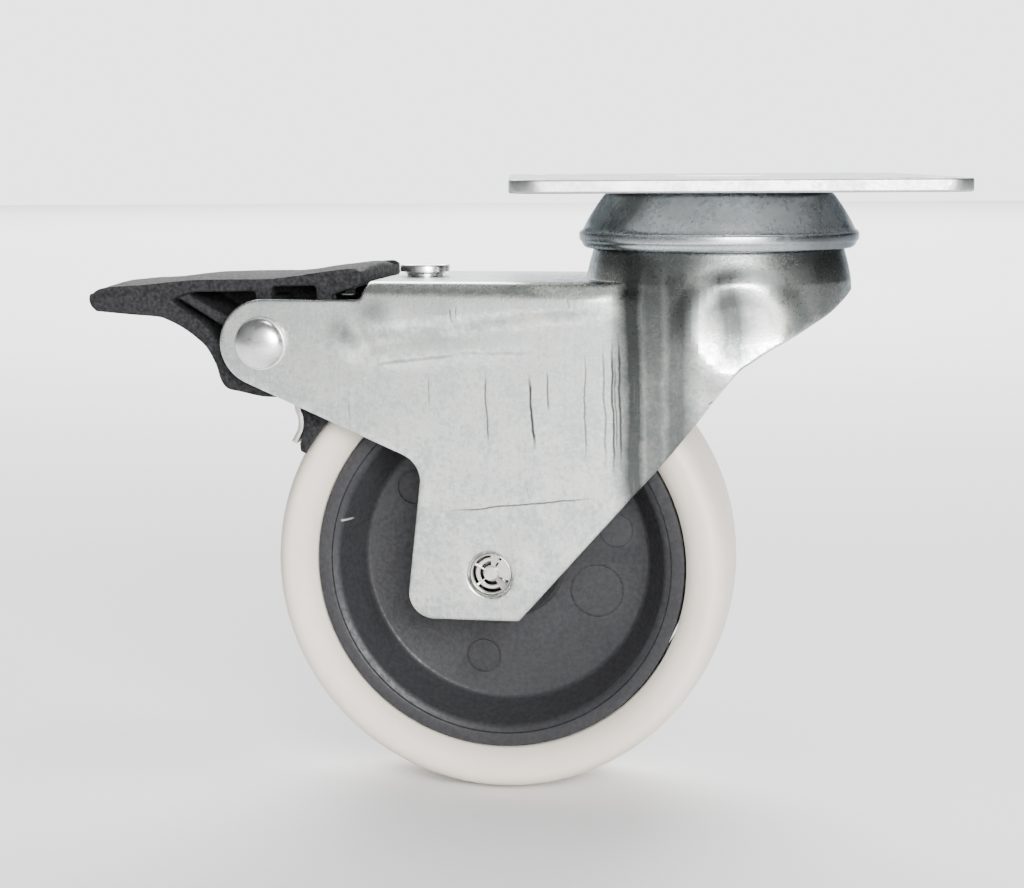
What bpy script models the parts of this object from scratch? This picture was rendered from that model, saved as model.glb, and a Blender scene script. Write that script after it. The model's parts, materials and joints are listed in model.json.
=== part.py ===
"""Swivel castor with a foot brake: a 75 mm wheel in a pressed steel fork under a bolted top plate.

Blender 4.5. Metres, +Z up. The origin is on the swivel axis at the top plate's upper face.
The plate is square to X and Y. Everything below it is modelled square to a "swivel" empty, which
stands at REST_SWIVEL about Z: the wheel trails towards the empty's -X and spins about its Y.
"""

import math

import bmesh
import bpy
from mathutils import Matrix, Vector

# ---- driving dimensions -------------------------------------------------------------------------
GAP = 0.0003  # between pieces that touch on the real object
RUNNING_GAP = 0.00005  # between a ball and its race

OVERALL_HEIGHT = 0.100
REST_SWIVEL = math.radians(-10.0)

PLATE_X, PLATE_Y, PLATE_THICK = 0.067, 0.077, 0.0020
PLATE_CORNER, PLATE_BEVEL = 0.0045, 0.0003
BOLT_SPACING_X, BOLT_SPACING_Y, BOLT_HOLE_R = 0.0515, 0.0615, 0.00425

WHEEL_R = 0.0375
TYRE_HALF_WIDTH = 0.0119
RIM_R = 0.0301
RIM_HALF_WIDTH = 0.0094
DISC_HALF_WIDTH = 0.0020
HUB_R, HUB_HALF_WIDTH = 0.0088, 0.0130

AXLE = Vector((-0.0343, 0.0, -OVERALL_HEIGHT + WHEEL_R))
AXLE_R = 0.0031
SLEEVE_R = 0.0042
BUSH_R = 0.0056
AXLE_HOLE_R = 0.00365

SHEET = 0.0022  # thickness of the fork's steel
FORK_HALF_WIDTH = 0.01715
LEG_INNER = FORK_HALF_WIDTH - SHEET
CROWN_R = 0.0213
CROWN_TOP = -0.0076
CROWN_HOLE_R = 0.0062
WEB_TOP = -0.0162
WEB_BOTTOM = WEB_TOP - SHEET
WEB_END_X = -0.0537
ARM_TOP = -0.01915

BALL_R = 0.0020
UPPER_PITCH_R, UPPER_BALLS = 0.0150, 12
LOWER_PITCH_R, LOWER_BALLS = 0.0105, 10
SHELL_TOP = -PLATE_THICK - GAP
SHELL_THICK = 0.0018
UPPER_BALL_Z = SHELL_TOP - SHELL_THICK - RUNNING_GAP - BALL_R
LOWER_BALL_Z = CROWN_TOP - SHEET + 0.0005 - RUNNING_GAP - BALL_R
CUP_TOP, CUP_THICK, CUP_R = -0.0128, 0.0018, 0.0140
LOCK_RING_TOP, LOCK_RING_THICK = CUP_TOP - CUP_THICK - GAP, 0.0018
LOCK_RING_R, LOCK_ROOT_R, LOCK_TEETH = 0.0145, 0.0115, 12
KINGPIN_R, KINGPIN_SHOULDER_R = 0.0040, 0.0055
KINGPIN_HEAD_R, KINGPIN_FOOT_R = 0.0072, 0.0058
WASHER_R, WASHER_THICK = 0.0070, 0.0010
CAGE_THICK = 0.0010

PEDAL_PIVOT = Vector((-0.0712, 0.0, -0.0261))
PEDAL_RIVET_R, PEDAL_HEAD_R = 0.0025, 0.0042
ARM_END_R = 0.00695
PEDAL_HALF_WIDTH = 0.0140
PEDAL_WALL, PEDAL_RIB_THICK = 0.0026, 0.0018
PEDAL_HUB_R = 0.0058

LEVER_RIVET_X = -0.0481
LEVER_Z = -0.0199  # middle of the brake lever's flat stretch
LEVER_THICK, LEVER_HALF_WIDTH = 0.0009, 0.0110
LEVER_RIVET_R, LEVER_HEAD_R = 0.0025, 0.0041
SHOE_GAP = 0.0008  # between the brake shoe and the tread with the brake off
SHOE_HALF_WIDTH = 0.0120

ROUND_STEPS = 48
TYRE_STEPS = 56
SMALL_STEPS = 24
BORE_STEPS = 16
SKIRT_STEPS = 34
WELD = 1e-6  # points nearer than this are one point
FLAT_ANGLE = math.radians(0.1)  # faces nearer than this to one plane are one face
CUT_REACH = 0.030  # how far cutters across the fork reach from its middle plane


# ---- scene and helpers --------------------------------------------------------------------------
def clear_scene():
    for obj in list(bpy.data.objects):
        bpy.data.objects.remove(obj, do_unlink=True)


def new_collection(name, hidden=False):
    made = bpy.data.collections.new(name)
    bpy.context.scene.collection.children.link(made)
    made.hide_render = hidden
    return made


clear_scene()
PARTS = new_collection("swivel_castor")
CUTTERS = new_collection("cutters", hidden=True)


def make_material(name, colour, roughness, metallic):
    material = bpy.data.materials.new(name)
    material.use_nodes = True
    shader = material.node_tree.nodes["Principled BSDF"]
    shader.inputs["Base Color"].default_value = (*colour, 1.0)
    shader.inputs["Roughness"].default_value = roughness
    shader.inputs["Metallic"].default_value = metallic
    return material


ZINC = make_material("zinc_plated_steel", (0.62, 0.66, 0.67), 0.35, 1.0)
PLATE_ZINC = make_material("plate_steel", (0.66, 0.67, 0.66), 0.40, 1.0)
DARK_ZINC = make_material("race_steel", (0.36, 0.40, 0.43), 0.35, 1.0)
BRIGHT_STEEL = make_material("bright_steel", (0.80, 0.80, 0.79), 0.20, 1.0)
SPRING_STEEL = make_material("spring_steel", (0.70, 0.69, 0.66), 0.30, 1.0)
GREY_RUBBER = make_material("grey_rubber", (0.72, 0.69, 0.65), 0.65, 0.0)
CORE_PLASTIC = make_material("core_plastic", (0.10, 0.10, 0.11), 0.55, 0.0)
PEDAL_PLASTIC = make_material("pedal_plastic", (0.06, 0.06, 0.065), 0.60, 0.0)
NYLON = make_material("nylon", (0.80, 0.78, 0.70), 0.50, 0.0)
SEAL_PLASTIC = make_material("seal_plastic", (0.05, 0.05, 0.05), 0.60, 0.0)


def new_empty(name, location=(0.0, 0.0, 0.0), parent=None, turn=0.0):
    empty = bpy.data.objects.new(name, None)
    PARTS.objects.link(empty)
    empty.parent = parent
    empty.location = location
    empty.rotation_euler.z = turn
    return empty


SWIVEL = new_empty("swivel", turn=REST_SWIVEL)
WHEEL_AXIS = new_empty("wheel_axis", AXLE, SWIVEL)
PEDAL_AXIS = new_empty("pedal_axis", PEDAL_PIVOT, SWIVEL)
LEVER_AXIS = new_empty("lever_axis", (LEVER_RIVET_X, 0.0, LEVER_Z), SWIVEL)
PIVOTS = {
    "plate": Vector((0.0, 0.0, 0.0)),
    "swivel": Vector((0.0, 0.0, 0.0)),
    "wheel": AXLE,
    "pedal": PEDAL_PIVOT,
    "lever": Vector((LEVER_RIVET_X, 0.0, LEVER_Z)),
}
PARENTS = {"plate": None, "swivel": SWIVEL, "wheel": WHEEL_AXIS, "pedal": PEDAL_AXIS, "lever": LEVER_AXIS}


def place(obj, name, material, group):
    """Hangs a shape modelled in the swivel's frame on its group's empty, with its origin on that axis."""
    obj.name = name
    obj.data.name = name
    obj.data.materials.clear()
    obj.data.materials.append(material)
    obj.parent = PARENTS[group]
    obj.data.transform(Matrix.Translation(-PIVOTS[group]))
    return obj


def linked(name, data, collection):
    """A new object in its collection. Cutters show as wire."""
    obj = bpy.data.objects.new(name, data)
    collection.objects.link(obj)
    if collection is CUTTERS:
        obj.display_type = "WIRE"
        obj.hide_render = True
    return obj


def link_mesh(name, bm, collection=PARTS):
    mesh = bpy.data.meshes.new(name)
    bmesh.ops.recalc_face_normals(bm, faces=bm.faces)
    bm.to_mesh(mesh)
    bm.free()
    return linked(name, mesh, collection)


def baked(obj):
    """The object as its modifiers make it, as a plain mesh object in the same place."""
    bpy.context.view_layer.update()
    graph = bpy.context.evaluated_depsgraph_get()
    mesh = bpy.data.meshes.new_from_object(obj.evaluated_get(graph))
    mesh.transform(obj.matrix_world)
    bm = bmesh.new()
    bm.from_mesh(mesh)
    bmesh.ops.remove_doubles(bm, verts=bm.verts, dist=WELD)
    bmesh.ops.dissolve_degenerate(bm, edges=bm.edges, dist=WELD / 10)
    bm.to_mesh(mesh)
    bm.free()
    made = linked(obj.name, mesh, CUTTERS if obj.name in CUTTERS.objects else PARTS)
    bpy.data.objects.remove(obj, do_unlink=True)
    return made


def turned(name, profile, steps, axis="Z", centre=(0.0, 0.0, 0.0), collection=PARTS):
    """A closed (radius, height) outline turned about Z or Y, running down the outer side, up the inner."""
    bm = bmesh.new()
    verts = [bm.verts.new((radius, 0.0, height)) for radius, height in profile]
    for a, b in zip(verts, verts[1:]):
        bm.edges.new((a, b))
    if profile[0][0] > 0.0 or profile[-1][0] > 0.0:
        bm.edges.new((verts[-1], verts[0]))
    mesh = bpy.data.meshes.new(name)
    bm.to_mesh(mesh)
    bm.free()
    obj = linked(name, mesh, collection)
    screw = obj.modifiers.new("Screw", "SCREW")
    screw.axis = "Z"
    screw.steps = steps
    screw.render_steps = steps
    screw.use_merge_vertices = True
    screw.merge_threshold = WELD
    screw.use_smooth_shade = True
    made = baked(obj)
    if axis == "Y":
        made.data.transform(Matrix.Rotation(math.radians(-90.0), 4, "X"))
    made.data.transform(Matrix.Translation(Vector(centre)))
    return made


def prism(name, outline, low, high, axis="Y", collection=PARTS):
    """A flat outline as a slab between two values of y (outline in x, z) or of z (outline in x, y)."""
    curve = bpy.data.curves.new(name, "CURVE")
    curve.dimensions = "2D"
    curve.fill_mode = "BOTH"
    curve.extrude = (high - low) / 2.0
    spline = curve.splines.new("POLY")
    spline.points.add(len(outline) - 1)
    for point, (across, up) in zip(spline.points, outline):
        point.co = (across, up, 0.0, 1.0)
    spline.use_cyclic_u = True
    obj = linked(name, curve, collection)
    middle = (high + low) / 2.0
    if axis == "Y":
        obj.rotation_euler.x = math.radians(90.0)
        obj.location.y = middle
    else:
        obj.location.z = middle
    slab = baked(obj)
    bm = bmesh.new()
    bm.from_mesh(slab.data)
    bmesh.ops.dissolve_limit(bm, angle_limit=FLAT_ANGLE, verts=bm.verts, edges=bm.edges)
    bmesh.ops.recalc_face_normals(bm, faces=bm.faces)
    bm.to_mesh(slab.data)
    bm.free()
    return slab


def box(name, low, high, collection=PARTS):
    bm = bmesh.new()
    bmesh.ops.create_cube(bm, size=1.0)
    size = Vector(high) - Vector(low)
    bmesh.ops.scale(bm, vec=size, verts=bm.verts)
    bmesh.ops.translate(bm, vec=(Vector(high) + Vector(low)) / 2.0, verts=bm.verts)
    return link_mesh(name, bm, collection)


def cylinder(
    name, radius, low, high, axis="Z", centre=(0.0, 0.0, 0.0), steps=SMALL_STEPS, collection=PARTS
):
    """A round bar from low to high along its axis, through centre."""
    bm = bmesh.new()
    bmesh.ops.create_cone(
        bm, cap_ends=True, segments=steps, radius1=radius, radius2=radius, depth=high - low
    )
    bmesh.ops.translate(bm, vec=(0.0, 0.0, (high + low) / 2.0), verts=bm.verts)
    if axis == "Y":
        bmesh.ops.rotate(bm, matrix=Matrix.Rotation(math.radians(-90.0), 3, "X"), verts=bm.verts)
    bmesh.ops.translate(bm, vec=centre, verts=bm.verts)
    return link_mesh(name, bm, collection)


def combined(obj, others, operation):
    """obj with the others cut from it, joined to it or kept in common with it. The others are used up."""
    for other in others:
        step = obj.modifiers.new(other.name, "BOOLEAN")
        step.operation = operation
        step.solver = "EXACT"
        step.object = other
        step.use_self = False
        obj = baked(obj)
        bpy.data.objects.remove(other, do_unlink=True)
    return obj


def arc(centre, radius, start, end, steps):
    """Points along a round stretch of an outline, angles in degrees from +x towards +z or +y."""
    angles = [math.radians(start + (end - start) * i / steps) for i in range(steps + 1)]
    return [(centre[0] + radius * math.cos(a), centre[1] + radius * math.sin(a)) for a in angles]


def rounded_rectangle(half_x, half_y, radius, steps):
    corners = [(1, 1, 0), (-1, 1, 90), (-1, -1, 180), (1, -1, 270)]
    outline = []
    for sx, sy, start in corners:
        centre = (sx * (half_x - radius), sy * (half_y - radius))
        outline += arc(centre, radius, start, start + 90, steps)
    return outline


# ---- fixed head: plate, races, kingpin, lock ring -------------------------------------------------
def make_top_plate():
    outline = rounded_rectangle(PLATE_X / 2, PLATE_Y / 2, PLATE_CORNER, 6)
    plate = prism("top_plate", outline, -PLATE_THICK, 0.0, "Z")
    edge = plate.modifiers.new("Bevel", "BEVEL")
    edge.width = PLATE_BEVEL
    edge.segments = 1
    edge.limit_method = "ANGLE"
    plate = baked(plate)
    cutters = []
    reach = 2 * PLATE_THICK
    for sx in (-1, 1):
        for sy in (-1, 1):
            centre = (sx * BOLT_SPACING_X / 2, sy * BOLT_SPACING_Y / 2, 0.0)
            hole = cylinder("bolt_cut", BOLT_HOLE_R, -reach, reach, centre=centre, collection=CUTTERS)
            cutters.append(hole)
    above, under = GAP, -PLATE_THICK - GAP
    hole_r = KINGPIN_R + GAP
    sink = [(0.0, above), (KINGPIN_HEAD_R + 2 * GAP, above), (hole_r, under), (0.0, under)]
    cutters.append(turned("kingpin_cut", sink, SMALL_STEPS, collection=CUTTERS))
    place(combined(plate, cutters, "DIFFERENCE"), "top_plate", PLATE_ZINC, "plate")


SHELL_OUTER = [
    (0.0166, 0.0),
    (0.0176, 0.0005),
    (0.0183, 0.0014),
    (0.0193, 0.0028),
    (0.0206, 0.0044),
    (0.0215, 0.0057),
    (0.0219, 0.0063),
    (0.0223, 0.0066),
    (0.0223, 0.0079),
    (0.0217, 0.0086),
    (0.0210, 0.0090),
]  # (radius, depth under SHELL_TOP): a flared cup whose rim is rolled in round the fork's crown


def make_race_shell():
    lip = [(0.0205, 0.0089), (0.0204, 0.0083), (0.0207, 0.0078), (0.0207, 0.0070)]
    inner = [(0.0196, 0.0056), (0.0184, 0.0042), (0.0174, 0.0028), (0.0166, SHELL_THICK)]
    hole = [(KINGPIN_R + GAP, SHELL_THICK), (KINGPIN_R + GAP, 0.0)]
    profile = [(r, SHELL_TOP - depth) for r, depth in SHELL_OUTER + lip + inner + hole]
    place(turned("race_shell", profile, ROUND_STEPS), "race_shell", DARK_ZINC, "plate")


def make_dust_seal():
    profile = [(0.0205, -0.0092), (0.0205, -0.0104), (0.0198, -0.0104), (0.0197, -0.0092)]
    place(turned("dust_seal", profile, ROUND_STEPS), "dust_seal", SEAL_PLASTIC, "plate")


def make_kingpin():
    foot_r = KINGPIN_FOOT_R
    shoulder_top = SHELL_TOP - SHELL_THICK - GAP
    shoulder_end = CUP_TOP + GAP
    foot_top = LOCK_RING_TOP - LOCK_RING_THICK - WASHER_THICK - 2 * GAP
    profile = [
        (0.0, 0.0),
        (KINGPIN_HEAD_R, 0.0),
        (KINGPIN_R, -PLATE_THICK),
        (KINGPIN_R, shoulder_top),
        (KINGPIN_SHOULDER_R, shoulder_top),
        (KINGPIN_SHOULDER_R, shoulder_end),
        (KINGPIN_R, shoulder_end),
        (KINGPIN_R, foot_top),
        (foot_r, foot_top),
        (foot_r * 0.92, foot_top - 0.0010),
        (foot_r * 0.60, foot_top - 0.0018),
        (0.0, foot_top - 0.0021),
    ]
    place(turned("kingpin", profile, SMALL_STEPS), "kingpin", BRIGHT_STEEL, "plate")


def make_lower_race():
    bottom, groove = CUP_TOP - CUP_THICK, LOWER_BALL_Z - BALL_R - RUNNING_GAP
    hole_r = KINGPIN_R + GAP
    profile = [
        (LOWER_PITCH_R - 0.0017, CUP_TOP),
        (LOWER_PITCH_R - 0.0010, groove),
        (LOWER_PITCH_R + 0.0010, groove),
        (LOWER_PITCH_R + 0.0017, CUP_TOP),
        (CUP_R - 0.0003, CUP_TOP),
        (CUP_R, CUP_TOP - 0.0003),
        (CUP_R, bottom),
        (hole_r, bottom),
        (hole_r, CUP_TOP),
    ]
    place(turned("lower_race", profile, 36), "lower_race", DARK_ZINC, "plate")


def make_lock_ring():
    """A ring with one tooth gap every 30 degrees. A gap faces the brake lever's tongue at rest."""
    pitch = 360.0 / LOCK_TEETH
    gap_share = 0.5
    outline = []
    for i in range(LOCK_TEETH):
        middle = 180.0 + math.degrees(REST_SWIVEL) + i * pitch
        half_gap = gap_share * pitch / 2.0
        outline += arc((0.0, 0.0), LOCK_ROOT_R, middle - half_gap, middle + half_gap, 2)
        outline += arc((0.0, 0.0), LOCK_RING_R, middle + half_gap, middle + pitch - half_gap, 2)
    ring = prism("lock_ring", outline, LOCK_RING_TOP - LOCK_RING_THICK, LOCK_RING_TOP, "Z")
    hole = cylinder("ring_cut", KINGPIN_R + GAP, 2 * LOCK_RING_TOP, 0.0, collection=CUTTERS)
    place(combined(ring, [hole], "DIFFERENCE"), "lock_ring", SPRING_STEEL, "plate")


def make_kingpin_washer():
    top = LOCK_RING_TOP - LOCK_RING_THICK - GAP
    bottom, hole_r = top - WASHER_THICK, KINGPIN_R + GAP
    profile = [(WASHER_R, top), (WASHER_R, bottom), (hole_r, bottom), (hole_r, top)]
    place(turned("kingpin_washer", profile, SMALL_STEPS), "kingpin_washer", ZINC, "plate")


# ---- ball rows ----------------------------------------------------------------------------------
def make_ball_row(prefix, pitch_r, count, z, cage_half_width):
    """Balls and the nylon cage that spaces them, square to the swivel at rest."""
    for i in range(count):
        angle = 2.0 * math.pi * i / count
        centre = Vector((pitch_r * math.cos(angle), pitch_r * math.sin(angle), z))
        bm = bmesh.new()
        bmesh.ops.create_icosphere(bm, subdivisions=2, radius=BALL_R)
        bmesh.ops.translate(bm, vec=centre, verts=bm.verts)
        place(link_mesh("ball", bm), f"{prefix}_ball_{i + 1:02d}", BRIGHT_STEEL, "swivel")
    low, high = pitch_r - cage_half_width, pitch_r + cage_half_width
    top, bottom = z + CAGE_THICK / 2, z - CAGE_THICK / 2
    profile = [(high, top), (high, bottom), (low, bottom), (low, top)]
    cage = turned("cage", profile, 2 * count)
    pocket_r, pocket_steps = BALL_R + GAP, 10
    pockets = []
    for i in range(count):
        angle = 2.0 * math.pi * i / count
        centre = (pitch_r * math.cos(angle), pitch_r * math.sin(angle), z)
        pockets.append(
            cylinder("pocket", pocket_r, -BALL_R, BALL_R, "Z", centre, pocket_steps, CUTTERS)
        )
    place(combined(cage, pockets, "DIFFERENCE"), f"{prefix}_ball_cage", NYLON, "swivel")


# ---- fork ---------------------------------------------------------------------------------------
CROWN_OUTER = [
    (0.0175, CROWN_TOP),
    (0.0184, -0.0083),
    (0.0190, -0.0095),
    (0.0195, -0.0111),
    (0.0203, -0.0128),
    (0.0210, -0.0145),
    (CROWN_R - 0.00005, WEB_TOP),
    (CROWN_R - 0.0008, WEB_TOP - 0.0010),
]
CROWN_INNER = [
    (CROWN_R - SHEET - 0.00005, WEB_BOTTOM - 0.0006),
    (CROWN_R - SHEET - 0.00005, -0.0168),
    (0.0188, -0.0150),
    (0.0181, -0.0133),
    (0.0173, -0.0115),
    (0.0168, -0.0103),
    (0.0163, CROWN_TOP - SHEET),
]
BELOW_ALL = -0.085
FLARE_TOP, FLARE_END = -0.0250, -0.0520  # the crown's round front flattens into the legs between these


def skirt_outline(z, top, inset, edge_radius):
    """The fork's skirt at height z, from above: two straight sides joined by the crown's round front."""
    depth = min(top - z, edge_radius)
    side = FORK_HALF_WIDTH - inset
    if edge_radius > 0.0:
        side -= edge_radius - math.sqrt(edge_radius**2 - (edge_radius - depth) ** 2)
    radius = CROWN_R - inset
    share = min(max((z - FLARE_END) / (FLARE_TOP - FLARE_END), 0.0), 1.0)
    flare = share * share * (3.0 - 2.0 * share)
    start = math.pi - math.asin(side / radius)
    rear = -0.090 - inset
    points = [(rear, side)]
    for i in range(SKIRT_STEPS + 1):
        angle = start * (1.0 - 2.0 * i / SKIRT_STEPS)
        across = radius * math.sin(angle)
        if abs(across) > side:
            across = math.copysign(side + flare * (abs(across) - side), across)
        points.append((radius * math.cos(angle), across))
    return points + [(rear, -side)]


def make_skirt(name, levels, top, inset, edge_radius, collection):
    """A solid lofted through the skirt's outlines."""
    bm = bmesh.new()
    rings = []
    for z in levels:
        outline = skirt_outline(z, top, inset, edge_radius)
        rings.append([bm.verts.new((x, y, z)) for x, y in outline])
    for upper, lower in zip(rings, rings[1:]):
        for i in range(len(upper)):
            j = (i + 1) % len(upper)
            bm.faces.new((upper[i], upper[j], lower[j], lower[i]))
    bm.faces.new(rings[0])
    bm.faces.new(rings[-1])
    return link_mesh(name, bm, collection)


def fork_side_outline():
    """The fork seen from its side, (x, z): crown at the right, brake arms at the left, axle ears below."""
    pivot = (PEDAL_PIVOT.x, PEDAL_PIVOT.z)
    arm_slope = -24.2  # degrees, of the arms' lower edge
    end = arc(pivot, ARM_END_R, 90.0, 270.0 + arm_slope, 12)
    inner_corner = arc((-0.0501, -0.0478), 0.0045, 90.0 + arm_slope, 1.0, 4)
    rear_corner = arc((-0.0434, -0.0658), 0.0042, 181.0, 270.0, 5)
    front_corner = arc((-0.0302, -0.0690), 0.0010, 270.0, 318.0, 2)
    front = [(-0.0075, -0.0450), (0.0045, -0.0302), (0.0062, -0.0286), (0.0094, -0.0263)]
    front += [(0.0126, -0.0243), (0.0157, -0.0226), (0.0183, -0.0208), (0.0204, -0.0188), (0.0216, -0.0172)]
    top = [(0.0230, -0.0160), (0.0230, 0.0), (WEB_END_X + 0.0002, 0.0), (WEB_END_X, WEB_TOP)]
    top += [(-0.0549, -0.0186)]
    step = [(-0.0556, ARM_TOP)]
    return end + inner_corner + rear_corner + front_corner + front + top + step


def make_fork():
    bend = 0.0024
    rounding = [WEB_TOP - bend * (1.0 - math.cos(math.radians(a))) for a in (0.0, 30.0, 60.0, 90.0)]
    flare = [FLARE_TOP + (FLARE_END - FLARE_TOP) * i / 6 for i in range(7)]
    body = make_skirt("fork", rounding + flare + [BELOW_ALL], WEB_TOP, 0.0, bend, PARTS)
    neck_profile = [(0.0, CROWN_TOP)] + CROWN_OUTER + [(0.0, CROWN_OUTER[-1][1])]
    neck = turned("neck", neck_profile, ROUND_STEPS, collection=CUTTERS)
    body = combined(body, [neck], "UNION")
    room_profile = [(0.0, CROWN_TOP - SHEET)] + CROWN_INNER[::-1] + [(0.0, CROWN_INNER[0][1])]
    room = turned("crown_room", room_profile, ROUND_STEPS, collection=CUTTERS)
    bay = make_skirt("bay", [WEB_BOTTOM] + flare + [BELOW_ALL - 0.01], WEB_BOTTOM, SHEET, 0.0, CUTTERS)
    body = combined(body, [room, bay], "DIFFERENCE")
    side = prism("side", fork_side_outline(), -CUT_REACH, CUT_REACH, collection=CUTTERS)
    body = combined(body, [side], "INTERSECT")
    upper = groove_profile(UPPER_PITCH_R, CROWN_TOP, UPPER_BALL_Z, 1)
    lower = groove_profile(LOWER_PITCH_R, CROWN_TOP - SHEET, LOWER_BALL_Z, -1)
    lever_rivet = (LEVER_RIVET_X, 0.0, WEB_TOP)
    pedal_hole_r, lever_hole_r = PEDAL_RIVET_R + GAP, LEVER_RIVET_R + GAP
    cuts = [
        turned("upper_groove", upper, ROUND_STEPS, collection=CUTTERS),
        turned("lower_groove", lower, ROUND_STEPS, collection=CUTTERS),
        cylinder("crown_hole", CROWN_HOLE_R, CROWN_TOP - 2 * SHEET, CROWN_TOP + SHEET, collection=CUTTERS),
        cylinder("axle_hole", AXLE_HOLE_R, -CUT_REACH, CUT_REACH, "Y", AXLE, collection=CUTTERS),
        cylinder("pedal_hole", pedal_hole_r, -CUT_REACH, CUT_REACH, "Y", PEDAL_PIVOT, BORE_STEPS, CUTTERS),
        cylinder("lever_hole", lever_hole_r, -2 * SHEET, 2 * SHEET, "Z", lever_rivet, BORE_STEPS, CUTTERS),
    ]
    place(combined(body, cuts, "DIFFERENCE"), "fork", ZINC, "swivel")


def groove_profile(pitch_r, face_z, ball_z, side):
    """A ball groove's cutter: side 1 cuts down from a top face, side -1 cuts up into an under face."""
    depth = abs(ball_z - side * (BALL_R + RUNNING_GAP) - face_z)
    outside, bottom = face_z + side * 0.0005, face_z - side * depth
    half_mouth, half_floor = 0.0017, 0.0010
    loop = [
        (pitch_r + half_mouth, outside),
        (pitch_r + half_floor, bottom),
        (pitch_r - half_floor, bottom),
        (pitch_r - half_mouth, outside),
    ]
    return loop if side > 0 else loop[::-1]


# ---- wheel --------------------------------------------------------------------------------------
def mirrored(half):
    """A (radius, y) outline from its half with y above 0: the far side first, then the near side."""
    return half + [(r, -y) for r, y in reversed(half)]


TYRE_HALF_OUTLINE = [
    (RIM_R + GAP, RIM_HALF_WIDTH),
    (0.0314, 0.0106),
    (0.0328, 0.0115),
    (0.0346, TYRE_HALF_WIDTH),
    (0.0357, 0.0114),
    (0.0366, 0.0098),
    (0.0372, 0.0068),
    (WHEEL_R, 0.0025),
]  # (radius, y), from the rim out over the shoulder to the tread


def make_tyre():
    tyre = turned("tyre", mirrored(TYRE_HALF_OUTLINE), TYRE_STEPS, "Y", AXLE)
    place(tyre, "tyre", GREY_RUBBER, "wheel")


def make_wheel_core():
    half = [
        (BUSH_R + GAP, HUB_HALF_WIDTH),
        (HUB_R - 0.0004, HUB_HALF_WIDTH),
        (HUB_R, HUB_HALF_WIDTH - 0.0004),
        (HUB_R + 0.0004, 0.0028),
        (HUB_R + 0.0012, DISC_HALF_WIDTH),
        (0.0236, DISC_HALF_WIDTH),
        (0.0241, 0.0024),
        (0.0268, 0.0086),
        (0.0279, 0.0090),
        (0.0281, RIM_HALF_WIDTH),
        (RIM_R, RIM_HALF_WIDTH),
    ]
    place(turned("wheel_core", mirrored(half), ROUND_STEPS, "Y", AXLE), "wheel_core", CORE_PLASTIC, "wheel")


def make_bushes():
    bore, flange_r = SLEEVE_R + 0.0001, 0.0080
    inner_end, flange_start, outer_end = 0.0040, HUB_HALF_WIDTH + GAP, 0.0143
    for name, side in (("near_hub_bush", -1), ("far_hub_bush", 1)):
        loop = [
            (bore, outer_end),
            (flange_r, outer_end),
            (flange_r, flange_start),
            (BUSH_R, flange_start),
            (BUSH_R, inner_end),
            (bore, inner_end),
        ]
        profile = loop if side > 0 else [(r, -y) for r, y in reversed(loop)]
        place(turned(name, profile, SMALL_STEPS, "Y", AXLE), name, NYLON, "wheel")


# ---- axle and rivets, fixed in the fork -----------------------------------------------------------
def make_axle_sleeve():
    half, bore = LEG_INNER - GAP, AXLE_R + GAP
    profile = [(SLEEVE_R, half), (SLEEVE_R, -half), (bore, -half), (bore, half)]
    place(turned("axle_sleeve", profile, SMALL_STEPS, "Y", AXLE), "axle_sleeve", ZINC, "swivel")


def make_axle_rivet():
    """A rivet hollowed at each end round a short post, its rim opened out inside the fork's hole."""
    end = FORK_HALF_WIDTH - 0.0004
    flare_r, hollow_r, post_r = AXLE_HOLE_R - GAP, 0.0026, 0.0013
    half = [
        (0.0, end - 0.0005),
        (post_r * 0.8, end - 0.0005),
        (post_r, end - 0.0008),
        (post_r * 1.1, end - 0.0016),
        (hollow_r * 0.85, end - 0.0014),
        (hollow_r, end - 0.0003),
        (flare_r - 0.0003, end),
        (flare_r, end - 0.0004),
        (AXLE_R, end - 0.0016),
    ]
    rivet = turned("axle_rivet", mirrored(half), SMALL_STEPS, "Y", AXLE)
    place(rivet, "axle_rivet", BRIGHT_STEEL, "swivel")


def make_pedal_rivet():
    seat = FORK_HALF_WIDTH + GAP
    half = [
        (0.0, seat + 0.0024),
        (PEDAL_HEAD_R * 0.45, seat + 0.0022),
        (PEDAL_HEAD_R * 0.80, seat + 0.0017),
        (PEDAL_HEAD_R * 0.96, seat + 0.0011),
        (PEDAL_HEAD_R, seat),
        (PEDAL_RIVET_R, seat),
    ]
    rivet = turned("pedal_rivet", mirrored(half), SMALL_STEPS, "Y", PEDAL_PIVOT)
    place(rivet, "pedal_rivet", BRIGHT_STEEL, "swivel")


def make_lever_rivet():
    collar_r, foot_r = 0.0030, 0.0038
    foot_top = LEVER_Z - LEVER_THICK / 2 - 0.00045
    profile = [
        (0.0, -0.0142),
        (LEVER_HEAD_R - 0.0006, -0.0142),
        (LEVER_HEAD_R, -0.0147),
        (LEVER_HEAD_R, -0.0154),
        (LEVER_HEAD_R - 0.0004, -0.0157),
        (collar_r, -0.0157),
        (collar_r, WEB_TOP + 0.0001),
        (LEVER_RIVET_R, WEB_TOP + 0.0001),
        (LEVER_RIVET_R, foot_top),
        (foot_r, foot_top),
        (foot_r * 0.9, foot_top - 0.0008),
        (0.0, foot_top - 0.0012),
    ]
    rivet = turned("lever_rivet", profile, SMALL_STEPS, "Z", (LEVER_RIVET_X, 0.0, 0.0))
    place(rivet, "lever_rivet", BRIGHT_STEEL, "swivel")


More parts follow.
